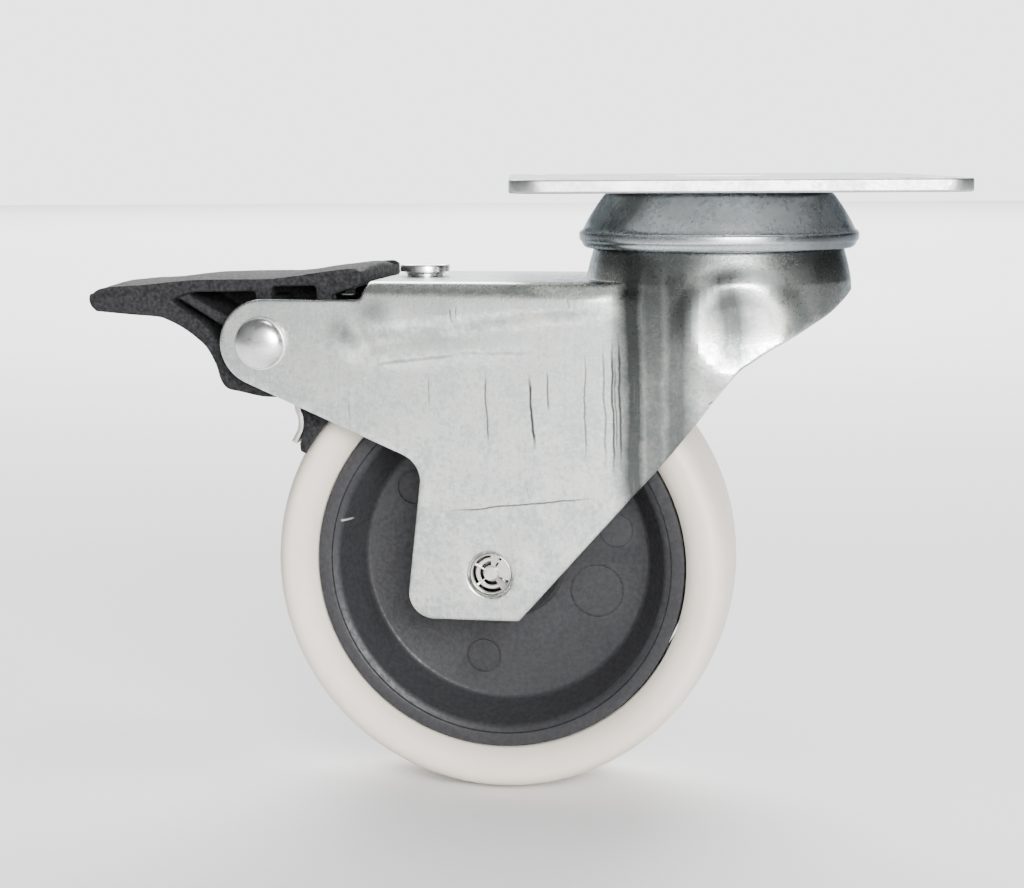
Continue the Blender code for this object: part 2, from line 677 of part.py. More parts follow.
# ---- pedal --------------------------------------------------------------------------------------
PEDAL_TOP = [
    (-0.1007, -0.0182),
    (-0.0986, -0.0172),
    (-0.0920, -0.0167),
    (-0.0840, -0.0159),
    (-0.0770, -0.0157),
    (-0.0700, -0.01555),
    (-0.0620, -0.01445),
    (-0.0570, -0.0139),
    (-0.0556, -0.0144),
]  # the foot pad's top along its middle, from the nose to the end by the fork's web
PEDAL_UNDER = [
    (-0.0667, -0.0345),
    (-0.0696, -0.0351),
    (-0.0725, -0.0350),
    (-0.0759, -0.0343),
    (-0.0781, -0.0338),
    (-0.0792, -0.0323),
    (-0.0799, -0.0300),
    (-0.0813, -0.0274),
    (-0.0828, -0.0259),
    (-0.0853, -0.0241),
    (-0.0879, -0.0228),
    (-0.0896, -0.0223),
    (-0.0940, -0.0220),
    (-0.1000, -0.0215),
    (-0.1009, -0.0206),
    (-0.1012, -0.0190),
]
PAD_DEPTH = 0.0020  # from the pad's top to the room under it
PAD_CROWN_NOSE, PAD_CROWN_REAR = 0.0008, 0.0015  # how much lower the pad is at its long edges
PAD_CROWN_SHIFT = (-0.0720, -0.0580)  # the crown grows from its nose value to its rear value between these
PAD_CROWN_CUTS = (0.35, 0.65, 0.85)  # shares of the half width at which the pad's top is bent


def pedal_side_outline():
    right = [(-0.0556, -0.0170), (-0.0570, -0.0175), (-0.0605, -0.0186)]
    back = [(-0.0605, -0.0225), (-0.0640, -0.0240), (-0.0649, -0.0300)]
    return PEDAL_TOP + right + back + PEDAL_UNDER


def below(points, depth):
    return [(x, z - depth) for x, z in points]


def height_of(line, x):
    """The z of a line of (x, z) points, in order of x, at x."""
    for (x0, z0), (x1, z1) in zip(line, line[1:]):
        if x0 <= x <= x1:
            return z0 + (z1 - z0) * (x - x0) / (x1 - x0)
    return line[0][1] if x < line[0][0] else line[-1][1]


def crown_pad(pedal):
    """Bends the flat top of the pad down towards its long edges."""
    bm = bmesh.new()
    bm.from_mesh(pedal.data)
    for share in PAD_CROWN_CUTS:
        for side in (-1, 1):
            everything = bm.verts[:] + bm.edges[:] + bm.faces[:]
            cut_at = (0.0, side * share * PEDAL_HALF_WIDTH, 0.0)
            bmesh.ops.bisect_plane(bm, geom=everything, plane_co=cut_at, plane_no=(0.0, 1.0, 0.0))
    start, end = PAD_CROWN_SHIFT
    for vert in bm.verts:
        if vert.co.z > height_of(PEDAL_TOP, vert.co.x) - GAP:
            share = min(max((vert.co.x - start) / (end - start), 0.0), 1.0)
            drop = PAD_CROWN_NOSE + (PAD_CROWN_REAR - PAD_CROWN_NOSE) * share
            vert.co.z -= drop * abs(vert.co.y / PEDAL_HALF_WIDTH) ** 2.5
    bmesh.ops.triangulate(bm, faces=[face for face in bm.faces if len(face.verts) > 3])
    bm.to_mesh(pedal.data)
    bm.free()
    return pedal


def make_pedal():
    """Two side walls under one foot pad, tied by a slanting web, a lower plate, a hub and a middle rib."""
    half, inner = PEDAL_HALF_WIDTH, PEDAL_HALF_WIDTH - PEDAL_WALL
    pedal = prism("pedal", pedal_side_outline(), -half, half)
    pivot = (PEDAL_PIVOT.x, PEDAL_PIVOT.z)
    rear_room = below(PEDAL_TOP[4:7], PAD_DEPTH) + [(-0.0577, -0.0163), (-0.0577, -0.0182)]
    rear_room += [(-0.0540, -0.0182), (-0.0540, -0.0400), (-0.0684, -0.0400), (-0.0684, -0.0356)]
    rear_room += [(-0.0657, -0.0318), (-0.0652, -0.0280), (-0.0660, -0.0204)]
    rear_room += [(-0.0712, -0.0190), (-0.0765, -0.0195)]
    nose_room = [(-0.0975, -0.0194), (-0.0915, -0.0187), (-0.0900, -0.0186), (-0.0900, -0.0250)]
    nose_room += [(-0.0990, -0.0250)]
    rooms = [
        prism("rear_room", rear_room, -inner, inner, collection=CUTTERS),
        prism("nose_room", nose_room, -inner, inner, collection=CUTTERS),
    ]
    hub_left = arc(pivot, PEDAL_HUB_R, 112.0, 190.0, 4)
    window = [(-0.0871, -0.0194), (-0.0869, -0.0199), (-0.08525, -0.0210), (-0.0827, -0.0225)]
    window += [(-0.0810, -0.0241), (-0.0797, -0.0254), (-0.0783, -0.0262)] + hub_left[::-1]
    window += [(-0.0730, -0.0180), (-0.0835, -0.01825), (-0.0858, -0.0186)]
    small_window = [(-0.0703, -0.0173), (-0.0703, -0.0202), (-0.0630, -0.0202), (-0.0630, -0.0171)]
    bore_r = PEDAL_RIVET_R + GAP
    cuts = [
        prism("window", window, -CUT_REACH, CUT_REACH, collection=CUTTERS),
        prism("small_window", small_window, -CUT_REACH, CUT_REACH, collection=CUTTERS),
        cylinder("pivot_bore", bore_r, -CUT_REACH, CUT_REACH, "Y", PEDAL_PIVOT, BORE_STEPS, CUTTERS),
    ]
    web_outline = [(-0.0885, -0.0178), (-0.0862, -0.0176), (-0.0752, -0.0236), (-0.0762, -0.0252)]
    web = prism("web", web_outline, -PEDAL_HALF_WIDTH + GAP, PEDAL_HALF_WIDTH - GAP, collection=CUTTERS)
    rib_outline = [(-0.0860, -0.0175), (-0.0615, -0.0162), (-0.0615, -0.0190), (-0.0665, -0.0204)]
    rib_outline += [(-0.0715, -0.0230), (-0.0765, -0.0240)]
    rib = prism("rib", rib_outline, -PEDAL_RIB_THICK / 2, PEDAL_RIB_THICK / 2, collection=CUTTERS)
    pedal = combined(pedal, rooms + cuts, "DIFFERENCE")
    pedal = combined(pedal, [web, rib], "UNION")
    place(crown_pad(pedal), "pedal", PEDAL_PLASTIC, "pedal")


# ---- brake lever --------------------------------------------------------------------------------
LEVER_LINE = [
    (-0.0130, -0.01695),
    (-0.0131, -0.0192),
    (-0.0138, -0.0199),
    (-0.0560, -0.0199),
    (-0.0585, -0.0212),
    (-0.0612, -0.0260),
    (-0.0645, -0.0318),
    (-0.0670, -0.0355),
    (-0.0672, -0.0372),
    (-0.0667, -0.0387),
    (-0.0666, -0.0404),
    (-0.0670, -0.0418),
    (-0.0674, -0.0429),
]  # middle of the strip, from the tongue under the lock ring to the end behind the brake shoe


def strip_outline(line, thick):
    """The closed outline of a bent strip: one side out, the other side back."""
    sides = ([], [])
    for i, (x, z) in enumerate(line):
        before, after = Vector(line[max(i - 1, 0)]), Vector(line[min(i + 1, len(line) - 1)])
        along = (after - before).normalized()
        normal = Vector((-along.y, along.x)) * thick / 2
        sides[0].append((x + normal.x, z + normal.y))
        sides[1].append((x - normal.x, z - normal.y))
    return sides[0] + sides[1][::-1]


def make_brake_lever():
    outline = strip_outline(LEVER_LINE, LEVER_THICK)
    lever = prism("brake_lever", outline, -LEVER_HALF_WIDTH, LEVER_HALF_WIDTH)
    tongue_half, tongue_start = 0.0013, -0.0185
    bottom, top = LEVER_Z - 2 * SHEET, LEVER_Z + 2 * SHEET
    rivet = (LEVER_RIVET_X, 0.0, 0.0)
    cuts = [cylinder("rivet_cut", LEVER_RIVET_R + 2 * GAP, bottom, top, "Z", rivet, BORE_STEPS, CUTTERS)]
    for side in (-1, 1):
        low, high = sorted((side * tongue_half, side * CUT_REACH))
        cuts.append(box("tongue_cut", (tongue_start, low, bottom), (0.0, high, top), CUTTERS))
    place(combined(lever, cuts, "DIFFERENCE"), "brake_lever", SPRING_STEEL, "lever")


def make_brake_shoe():
    """A pad on the strip's wheel side, hollowed to the tread's crowned shape SHOE_GAP from it."""
    back = [(x + LEVER_THICK / 2 + GAP, z) for x, z in LEVER_LINE[-5:]]
    toe = [(-0.0665, -0.0441), (-0.0645, -0.0450), (-0.0600, -0.0400)]
    outline = [(-0.0618, -0.0376), (-0.0648, -0.0371)] + back + toe
    pad = prism("brake_shoe", outline, -SHOE_HALF_WIDTH, SHOE_HALF_WIDTH)
    room_half = TYRE_HALF_WIDTH + SHOE_GAP
    shoulder = [(r + SHOE_GAP, y + SHOE_GAP) for r, y in TYRE_HALF_OUTLINE[2:4]]
    crown = [(r + SHOE_GAP, y) for r, y in TYRE_HALF_OUTLINE[4:]]
    room = mirrored([(0.0, room_half), (RIM_R, room_half)] + shoulder + crown)
    tread = turned("tread_room", room, 2 * ROUND_STEPS, "Y", AXLE, CUTTERS)
    place(combined(pad, [tread], "DIFFERENCE"), "brake_shoe", PEDAL_PLASTIC, "lever")


def main():
    make_top_plate()
    make_race_shell()
    make_dust_seal()
    make_kingpin()
    make_lower_race()
    make_lock_ring()
    make_kingpin_washer()
    make_ball_row("upper", UPPER_PITCH_R, UPPER_BALLS, UPPER_BALL_Z, 0.0028)
    make_ball_row("lower", LOWER_PITCH_R, LOWER_BALLS, LOWER_BALL_Z, 0.0027)
    make_fork()
    make_tyre()
    make_wheel_core()
    make_bushes()
    make_axle_sleeve()
    make_axle_rivet()
    make_pedal_rivet()
    make_lever_rivet()
    make_pedal()
    make_brake_lever()
    make_brake_shoe()


main()
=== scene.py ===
"""Looks for a swivel castor with a foot brake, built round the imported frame.

Shapes are drawn in millimetres, and finish_piece() turns them into metres. Textures, bumps, the lights and
the camera are in metres. Pieces under the swivel are shaped square to the fork (x ahead of the swivel axis,
y across, z up) and then turned by REST_SWIVEL, the angle at which the fork stands under the plate.
"""

import json
import math

import bmesh
import bpy
from mathutils import Matrix, Vector, noise


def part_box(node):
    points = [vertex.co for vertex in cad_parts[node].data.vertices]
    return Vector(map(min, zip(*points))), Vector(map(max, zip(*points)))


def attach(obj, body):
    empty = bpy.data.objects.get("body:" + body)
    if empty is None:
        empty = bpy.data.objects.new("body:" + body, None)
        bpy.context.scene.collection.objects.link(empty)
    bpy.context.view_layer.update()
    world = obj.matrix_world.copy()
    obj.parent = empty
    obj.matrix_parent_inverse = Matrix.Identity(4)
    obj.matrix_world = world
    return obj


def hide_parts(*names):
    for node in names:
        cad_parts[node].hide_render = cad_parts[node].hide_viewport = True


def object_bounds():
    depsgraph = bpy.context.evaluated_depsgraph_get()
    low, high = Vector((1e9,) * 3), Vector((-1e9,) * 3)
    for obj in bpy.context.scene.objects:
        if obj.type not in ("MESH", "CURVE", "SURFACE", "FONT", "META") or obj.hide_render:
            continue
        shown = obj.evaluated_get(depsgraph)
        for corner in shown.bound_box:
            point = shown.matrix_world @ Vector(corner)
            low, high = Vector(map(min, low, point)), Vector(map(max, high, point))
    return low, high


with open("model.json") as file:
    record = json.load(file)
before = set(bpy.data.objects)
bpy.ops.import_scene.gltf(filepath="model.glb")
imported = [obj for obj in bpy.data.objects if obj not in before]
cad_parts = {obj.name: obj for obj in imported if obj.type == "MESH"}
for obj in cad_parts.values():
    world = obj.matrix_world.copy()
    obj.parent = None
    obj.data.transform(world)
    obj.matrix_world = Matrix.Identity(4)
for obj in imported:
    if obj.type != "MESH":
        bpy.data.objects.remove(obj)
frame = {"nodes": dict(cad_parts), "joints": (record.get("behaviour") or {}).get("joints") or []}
CAD_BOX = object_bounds()

MM = 0.001
JOINTS = {joint["name"]: joint for joint in frame["joints"]}
WHEEL_AXIS = Vector(JOINTS["wheel_spin"]["axis"])
REST_SWIVEL = math.atan2(-WHEEL_AXIS.x, WHEEL_AXIS.y)
TURN = Matrix.Rotation(REST_SWIVEL, 4, "Z")


def in_fork_mm(position):
    """A place in metres as the fork's own x, y, z in millimetres."""
    return (TURN.inverted() @ Vector(position)) / MM


AXLE = in_fork_mm(JOINTS["wheel_spin"]["pos_m"])
PIVOT = in_fork_mm(JOINTS["pedal_press"]["pos_m"])
LEVER = in_fork_mm(JOINTS["brake_engage"]["pos_m"])

SHEET = 2.2  # thickness of the fork's steel
FORK_HALF = 17.15  # from the middle to a leg's outer face
CROWN_R = 21.3
CROWN_TOP = -7.6
WEB_TOP = -16.2
BEND_R = 2.4  # outside of the bend between the web and a leg
AXLE_HOLE_R, PIVOT_HOLE_R, LEVER_HOLE_R = 3.65, 2.8, 2.8
TYRE_R = AXLE.z - CAD_BOX[0][2] / MM
WHEEL_STEPS, FINE, MEDIUM, COARSE = 192, 160, 96, 64  # steps round a turned piece
THROUGH = 30.0  # reach of a cut to each side of the middle, past every piece
WELD = 0.002  # points closer than this become one
SAME_PLANE = math.radians(0.2)  # faces that meet at less than this become one


# ---- shape tools --------------------------------------------------------------------------------
def link(name, mesh):
    obj = bpy.data.objects.new(name, mesh)
    bpy.context.scene.collection.objects.link(obj)
    return obj


def from_bmesh(name, bm):
    mesh = bpy.data.meshes.new(name)
    bm.to_mesh(mesh)
    bm.free()
    return link(name, mesh)


def baked(obj):
    """obj with its modifiers applied, as a plain mesh with its place in its vertices."""
    bpy.context.view_layer.update()
    graph = bpy.context.evaluated_depsgraph_get()
    mesh = bpy.data.meshes.new_from_object(obj.evaluated_get(graph))
    mesh.transform(obj.matrix_world)
    name = obj.name
    bpy.data.objects.remove(obj, do_unlink=True)
    return link(name, mesh)


def opened(obj):
    bm = bmesh.new()
    bm.from_mesh(obj.data)
    return bm


def closed(bm, obj):
    bm.to_mesh(obj.data)
    bm.free()
    return obj


def cleaned(obj):
    """obj with its double points merged and its faces turned outward."""
    bm = opened(obj)
    bmesh.ops.remove_doubles(bm, verts=bm.verts, dist=WELD)
    bmesh.ops.dissolve_degenerate(bm, edges=bm.edges, dist=WELD / 4)
    bmesh.ops.recalc_face_normals(bm, faces=bm.faces)
    return closed(bm, obj)


def diced(bm, cuts):
    """Splits every face that a (normal, offset) plane crosses, so that its points can be moved."""
    for normal, offset in cuts:
        everything = bm.verts[:] + bm.edges[:] + bm.faces[:]
        origin = Vector(normal) * offset
        bmesh.ops.bisect_plane(bm, geom=everything, plane_co=origin, plane_no=normal, dist=0.01)


def revolve(name, profile, steps=FINE, axis="Z", centre=(0.0, 0.0, 0.0)):
    """A (radius, height) outline turned about Z or Y. It runs down the outer side and up the inner."""
    bm = bmesh.new()
    verts = [bm.verts.new((radius, 0.0, height)) for radius, height in profile]
    for a, b in zip(verts, verts[1:]):
        bm.edges.new((a, b))
    if profile[0][0] > 0.0 or profile[-1][0] > 0.0:
        bm.edges.new((verts[-1], verts[0]))
    obj = from_bmesh(name, bm)
    screw = obj.modifiers.new("Screw", "SCREW")
    screw.steps = steps
    screw.render_steps = steps
    screw.use_merge_vertices = True
    screw.merge_threshold = 0.0001
    obj = cleaned(baked(obj))
    if axis == "Y":
        obj.data.transform(Matrix.Rotation(math.radians(-90.0), 4, "X"))
    obj.data.transform(Matrix.Translation(Vector(centre)))
    return obj


def slab(name, outlines, low, high, axis="Y", rounding=0.0, rounds=2):
    """Flat outlines, holes after the first, as a slab across Y (points in x, z) or Z (points in x, y)."""
    curve = bpy.data.curves.new(name, "CURVE")
    curve.dimensions = "2D"
    curve.fill_mode = "BOTH"
    curve.extrude = (high - low) / 2.0 - rounding
    curve.bevel_depth = rounding
    curve.bevel_resolution = rounds
    curve.offset = -rounding
    for outline in outlines:
        spline = curve.splines.new("POLY")
        spline.points.add(len(outline) - 1)
        for point, (across, up) in zip(spline.points, outline):
            point.co = (across, up, 0.0, 1.0)
        spline.use_cyclic_u = True
    obj = bpy.data.objects.new(name, curve)
    bpy.context.scene.collection.objects.link(obj)
    middle = (high + low) / 2.0
    if axis == "Y":
        obj.rotation_euler.x = math.radians(90.0)
        obj.location.y = middle
    else:
        obj.location.z = middle
    obj = cleaned(baked(obj))
    bm = opened(obj)
    bmesh.ops.dissolve_limit(bm, angle_limit=SAME_PLANE, verts=bm.verts, edges=bm.edges)
    return closed(bm, obj)


def bar(name, radius, low, high, axis="Z", centre=(0.0, 0.0, 0.0), steps=COARSE):
    profile = [(0.0, high), (radius, high), (radius, low), (0.0, low)]
    return revolve(name, profile, steps, axis, centre)


def combined(obj, others, operation):
    """obj cut by, joined to, or kept in common with the others, which are used up."""
    for other in others:
        step = obj.modifiers.new(other.name, "BOOLEAN")
        step.operation = operation
        step.solver = "EXACT"
        step.object = other
        obj = baked(obj)
        bpy.data.objects.remove(other, do_unlink=True)
    return obj


def bevelled(obj, width, segments=2, angle=35.0):
    bevel = obj.modifiers.new("Bevel", "BEVEL")
    bevel.width = width
    bevel.segments = segments
    bevel.limit_method = "ANGLE"
    bevel.angle_limit = math.radians(angle)
    bevel.use_clamp_overlap = False
    bevel.miter_outer = "MITER_ARC"
    return baked(obj)


def arc(centre, radius, start, end, steps):
    angles = [math.radians(start + (end - start) * i / steps) for i in range(steps + 1)]
    return [(centre[0] + radius * math.cos(a), centre[1] + radius * math.sin(a)) for a in angles]


HOLE_STEPS = 48


def hole(centre, radius):
    """The outline of a round hole, its last point one step short of its first."""
    return arc(centre, radius, 360.0, 360.0 / HOLE_STEPS, HOLE_STEPS - 1)


def catmull_rom(a, b, c, d, t):
    square = 2 * a - 5 * b + 4 * c - d
    cube = 3 * b - a - 3 * c + d
    return 0.5 * (2 * b + (c - a) * t + square * t * t + cube * t**3)


def through(points, steps=5):
    """A smooth line through points (Catmull-Rom), ends kept."""
    padded = [points[0]] + list(points) + [points[-1]]
    line = []
    for p0, p1, p2, p3 in zip(padded, padded[1:], padded[2:], padded[3:]):
        for i in range(steps):
            t = i / steps
            line.append(tuple(catmull_rom(a, b, c, d, t) for a, b, c, d in zip(p0, p1, p2, p3)))
    return line + [tuple(points[-1])]


def rounded_corners(points, radius, steps=4):
    """A closed outline with each corner replaced by an arc-like curve of about that radius."""
    outline = []
    count = len(points)
    for i in range(count):
        here, before, after = Vector(points[i]), Vector(points[i - 1]), Vector(points[(i + 1) % count])
        to_before, to_after = before - here, after - here
        reach = min(radius, to_before.length * 0.45, to_after.length * 0.45)
        start = here + to_before.normalized() * reach
        end = here + to_after.normalized() * reach
        for j in range(steps + 1):
            t = j / steps
            point = start * (1 - t) ** 2 + here * 2 * t * (1 - t) + end * t * t
            outline.append((point.x, point.y))
    return outline


FLAT_FACE = 6.0e-5  # square metres: a larger face is flat, and is shaded flat
LEVEL_FACE = 0.9999  # upward part of a normal: a plate or race face above this is level, and is shaded flat


def finish_piece(obj, name, body, node, materials, turned=True, sharp=35.0):
    """Scales a piece from millimetres, turns it with the fork, gives it its materials, ties it to its body
    and hides the node it stands for.
    """
    obj.name = name
    obj.data.name = name
    obj.data.transform(Matrix.Scale(MM, 4))
    if turned:
        obj.data.transform(TURN)
    obj.data.materials.clear()
    for material in materials:
        obj.data.materials.append(material)
    obj.data.shade_smooth()
    obj.data.set_sharp_from_angle(angle=math.radians(sharp))
    for polygon in obj.data.polygons:
        level = not turned and abs(polygon.normal.z) > LEVEL_FACE
        if level or polygon.area > FLAT_FACE:
            polygon.use_smooth = False
    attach(obj, body)
    if node:
        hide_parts(node)
    return obj


# ---- materials ----------------------------------------------------------------------------------
MARK_FULL = 0.30  # share of a mark's length, from its middle, that keeps its full depth
NEAR_SIDE = (-8.0, -5.0)  # marks lie on one side: whole beyond the first y, gone at the second


class Nodes:
    """Short names for the nodes of one material. Textures read the object's own coordinates, in metres."""

    def __init__(self, name, colour, roughness, metallic):
        self.material = bpy.data.materials.new(name)
        self.material.use_nodes = True
        self.tree = self.material.node_tree
        self.shader = self.tree.nodes["Principled BSDF"]
        self.shader.inputs["Base Color"].default_value = (*colour, 1.0)
        self.shader.inputs["Roughness"].default_value = roughness
        self.shader.inputs["Metallic"].default_value = metallic
        self.place = self.tree.nodes.new("ShaderNodeTexCoord").outputs["Object"]

    def join(self, source, target):
        self.tree.links.new(source, target)

    def stretched(self, scale):
        node = self.tree.nodes.new("ShaderNodeMapping")
        node.inputs["Scale"].default_value = scale
        self.join(self.place, node.inputs["Vector"])
        return node.outputs["Vector"]

    def noise(self, scale, detail=3.0, roughness=0.55, distortion=0.0, vector=None):
        node = self.tree.nodes.new("ShaderNodeTexNoise")
        node.inputs["Scale"].default_value = scale
        node.inputs["Detail"].default_value = detail
        node.inputs["Roughness"].default_value = roughness
        node.inputs["Distortion"].default_value = distortion
        self.join(vector or self.place, node.inputs["Vector"])
        return node.outputs["Fac"]

    def cells(self, scale):
        node = self.tree.nodes.new("ShaderNodeTexVoronoi")
        node.inputs["Scale"].default_value = scale
        self.join(self.place, node.inputs["Vector"])
        return node.outputs["Distance"]

    def ramp(self, source, low, high, bottom=0.0, top=1.0):
        node = self.tree.nodes.new("ShaderNodeMapRange")
        node.inputs["From Min"].default_value = low
        node.inputs["From Max"].default_value = high
        node.inputs["To Min"].default_value = bottom
        node.inputs["To Max"].default_value = top
        self.join(source, node.inputs["Value"])
        return node.outputs["Result"]

    def math(self, operation, first, second):
        node = self.tree.nodes.new("ShaderNodeMath")
        node.operation = operation
        for value, socket in ((first, node.inputs[0]), (second, node.inputs[1])):
            if isinstance(value, (int, float)):
                socket.default_value = value
            else:
                self.join(value, socket)
        return node.outputs[0]

    def mix(self, factor, first, second):
        node = self.tree.nodes.new("ShaderNodeMix")
        node.data_type = "RGBA"
        self.join(factor, node.inputs["Factor"])
        for value, socket in ((first, node.inputs[6]), (second, node.inputs[7])):
            if isinstance(value, tuple):
                socket.default_value = (*value, 1.0)
            else:
                self.join(value, socket)
        return node.outputs[2]

    def bump(self, height, strength, distance, below=None):
        node = self.tree.nodes.new("ShaderNodeBump")
        node.inputs["Strength"].default_value = strength
        node.inputs["Distance"].default_value = distance
        self.join(height, node.inputs["Height"])
        if below is not None:
            self.join(below, node.inputs["Normal"])
        return node.outputs["Normal"]

    def fork_plane(self):
        """The object's coordinates turned square to the fork, in millimetres."""
        node = self.tree.nodes.new("ShaderNodeMapping")
        node.inputs["Rotation"].default_value = (0.0, 0.0, -REST_SWIVEL)
        node.inputs["Scale"].default_value = (1.0 / MM, 1.0 / MM, 1.0 / MM)
        self.join(self.place, node.inputs["Vector"])
        return node.outputs["Vector"]

    def along(self, vector, direction):
        node = self.tree.nodes.new("ShaderNodeVectorMath")
        node.operation = "DOT_PRODUCT"
        node.inputs[1].default_value = direction
        self.join(vector, node.inputs[0])
        return node.outputs["Value"]

    def strokes(self, lines, ragged=None, core=0.4):
        """Straight marks on one side of the fork, as (x, z, x, z, half width, depth).

        A mark has its depth over the core share of its width, and is 0 off its edge.
        """
        plane = self.fork_plane()
        total = None
        for x0, z0, x1, z1, width, depth in lines:
            length = math.hypot(x1 - x0, z1 - z0)
            ux, uz = (x1 - x0) / length, (z1 - z0) / length
            middle = (x0 + x1) / 2 * ux + (z0 + z1) / 2 * uz
            aside = self.math("SUBTRACT", self.along(plane, (-uz, 0.0, ux)), -uz * x0 + ux * z0)
            if ragged is not None:
                aside = self.math("ADD", aside, ragged)
            off = self.math("ABSOLUTE", aside, 0.0)
            run = self.math("ABSOLUTE", self.math("SUBTRACT", self.along(plane, (ux, 0.0, uz)), middle), 0.0)
            across = self.ramp(off, width * core, width, depth, 0.0)
            mark = self.math("MULTIPLY", across, self.ramp(run, length * MARK_FULL, length * 0.5, 1.0, 0.0))
            total = mark if total is None else self.math("MAXIMUM", total, mark)
        near = self.ramp(self.along(plane, (0.0, 1.0, 0.0)), *NEAR_SIDE, 1.0, 0.0)
        return self.math("MULTIPLY", total, near)

    def colour(self, source):
        self.join(source, self.shader.inputs["Base Color"])

    def roughness(self, source):
        self.join(source, self.shader.inputs["Roughness"])

    def normal(self, source):
        self.join(source, self.shader.inputs["Normal"])


EDGE_TINT = (0.50, 0.53, 0.56, 1.0)  # zinc seen at a slant
FINE_GRAIN, CRYSTALS, SPECKS, SPECK_CLUSTERS, CLOUDS = 1900.0, 950.0, 520.0, 240.0, 190.0  # per metre
DRAWN = (2200.0, 2200.0, 70.0)  # per metre: fine upright lines
IN_MARK = 0.12  # share of the dark zinc's colour that is left in a scratch, in painted shade or in a painted dark reflection


def dimmed(colour, share):
    return tuple(c * share for c in colour)


def zinc(name, light, dark, rough, grain=1.0, marks=(), painted_shade=(), bands=()):
    """Zinc plate: a fine crystalline mottle, faint clouds and dark specks.

    marks are scratches, some of them painted shade along a crease, and bands are painted dark reflections, as
    Nodes.strokes() takes them. The painted shade darkens the zinc along each given direction, from start to
    stop, by up to a strength.
    """
    n = Nodes(name, light, rough, 1.0)
    n.shader.inputs["Specular Tint"].default_value = EDGE_TINT
    fine = n.noise(FINE_GRAIN, 3.0, 0.7)
    crystals = n.cells(CRYSTALS)
    clouds = n.noise(CLOUDS, 4.0, 0.6, 0.5)
    mottle = n.math("ADD", n.math("MULTIPLY", fine, 0.5), n.math("MULTIPLY", clouds, 0.5))
    mottle = n.math("ADD", mottle, n.math("MULTIPLY", n.ramp(crystals, 0.1, 0.8, -0.5, 0.5), 0.12))
    shade = n.ramp(mottle, 0.42, 0.58)
    colour = n.mix(shade, dark, light)
    specks = n.ramp(n.cells(SPECKS), 0.03, 0.09, 1.0, 0.0)
    specks = n.math("MULTIPLY", specks, n.ramp(n.noise(SPECK_CLUSTERS, 2.0), 0.56, 0.62))
    colour = n.mix(n.math("MULTIPLY", specks, 0.45 * grain), colour, dimmed(dark, 0.45))
    base = n.ramp(mottle, 0.38, 0.62, rough + 0.09, rough - 0.05)
    bump = n.bump(fine, 0.14 * grain, 0.0002)
    # painted shade: the zinc darkened along a direction, where light falls off
    for direction, start, stop, strength in painted_shade:
        drift = n.math("ADD", n.along(n.fork_plane(), direction), n.ramp(clouds, 0.3, 0.7, -0.4, 0.4))
        shaded = n.math("MULTIPLY", n.ramp(drift, start, stop), strength)
        colour = n.mix(shaded, colour, dimmed(dark, IN_MARK))
    # painted dark reflections, as soft bands
    if bands:
        drift = n.ramp(n.noise(110.0, 4.0, 0.65), 0.3, 0.7, -0.45, 0.45)
        colour = n.mix(n.strokes(bands, drift, 0.22), colour, dimmed(dark, IN_MARK))
    # scratches, with painted shade along a crease among them
    if marks:
        wander = n.ramp(n.noise(260.0, 2.0), 0.3, 0.7, -0.16, 0.16)
        scratches_and_crease_shade = n.strokes(marks, wander)
        colour = n.mix(scratches_and_crease_shade, colour, dimmed(dark, IN_MARK))
        bump = n.bump(n.math("SUBTRACT", 1.0, scratches_and_crease_shade), 0.10, 0.0002, bump)
    drawn = n.ramp(n.noise(1.0, 2.0, 0.5, vector=n.stretched(DRAWN)), 0.60, 0.78)
    n.colour(n.mix(n.math("MULTIPLY", drawn, 0.30 * grain), colour, dimmed(dark, 0.6)))
    n.roughness(base)
    n.normal(bump)
    return n.material


def cut_edge():
    """The sheared edge of the sheet: bare steel, painted brighter as a highlight along the edge, with fine
    lines straight through the thickness.
    """
    n = Nodes("sheared_edge", (0.80, 0.82, 0.83), 0.34, 1.0)
    lines = n.noise(1.0, 2.0, 0.6, vector=n.stretched((1800.0, 120.0, 1800.0)))
    # painted highlight: the edge's colour is lighter than the zinc's beside it
    n.colour(n.mix(n.ramp(lines, 0.35, 0.65), (0.62, 0.65, 0.67), (0.88, 0.90, 0.91)))
    n.normal(n.bump(lines, 0.15, 0.0001))
    return n.material


def bright(name, colour, rough, shaded_hollow=None):
    """Bare bright steel with faint smudges.

    Given a depth, the grooves whose floors lie within that many millimetres of the middle are painted dark,
    as painted shade in them.
    """
    n = Nodes(name, colour, rough, 1.0)
    smudge = n.noise(420.0, 3.0, 0.6, 0.6)
    n.roughness(n.ramp(smudge, 0.35, 0.7, rough - 0.04, rough + 0.12))
    tint = n.mix(n.ramp(smudge, 0.3, 0.75), colour, dimmed(colour, 0.82))
    if shaded_hollow is not None:
        # painted shade in the grooves: near black deep in them
        depth = n.math("ABSOLUTE", n.along(n.fork_plane(), (0.0, 1.0, 0.0)), 0.0)
        tint = n.mix(n.ramp(depth, shaded_hollow, shaded_hollow + 0.45, 0.93, 0.0), tint, (0.02, 0.019, 0.017))
    n.colour(tint)
    n.normal(n.bump(n.noise(900.0, 2.0), 0.05, 0.0002))
    return n.material


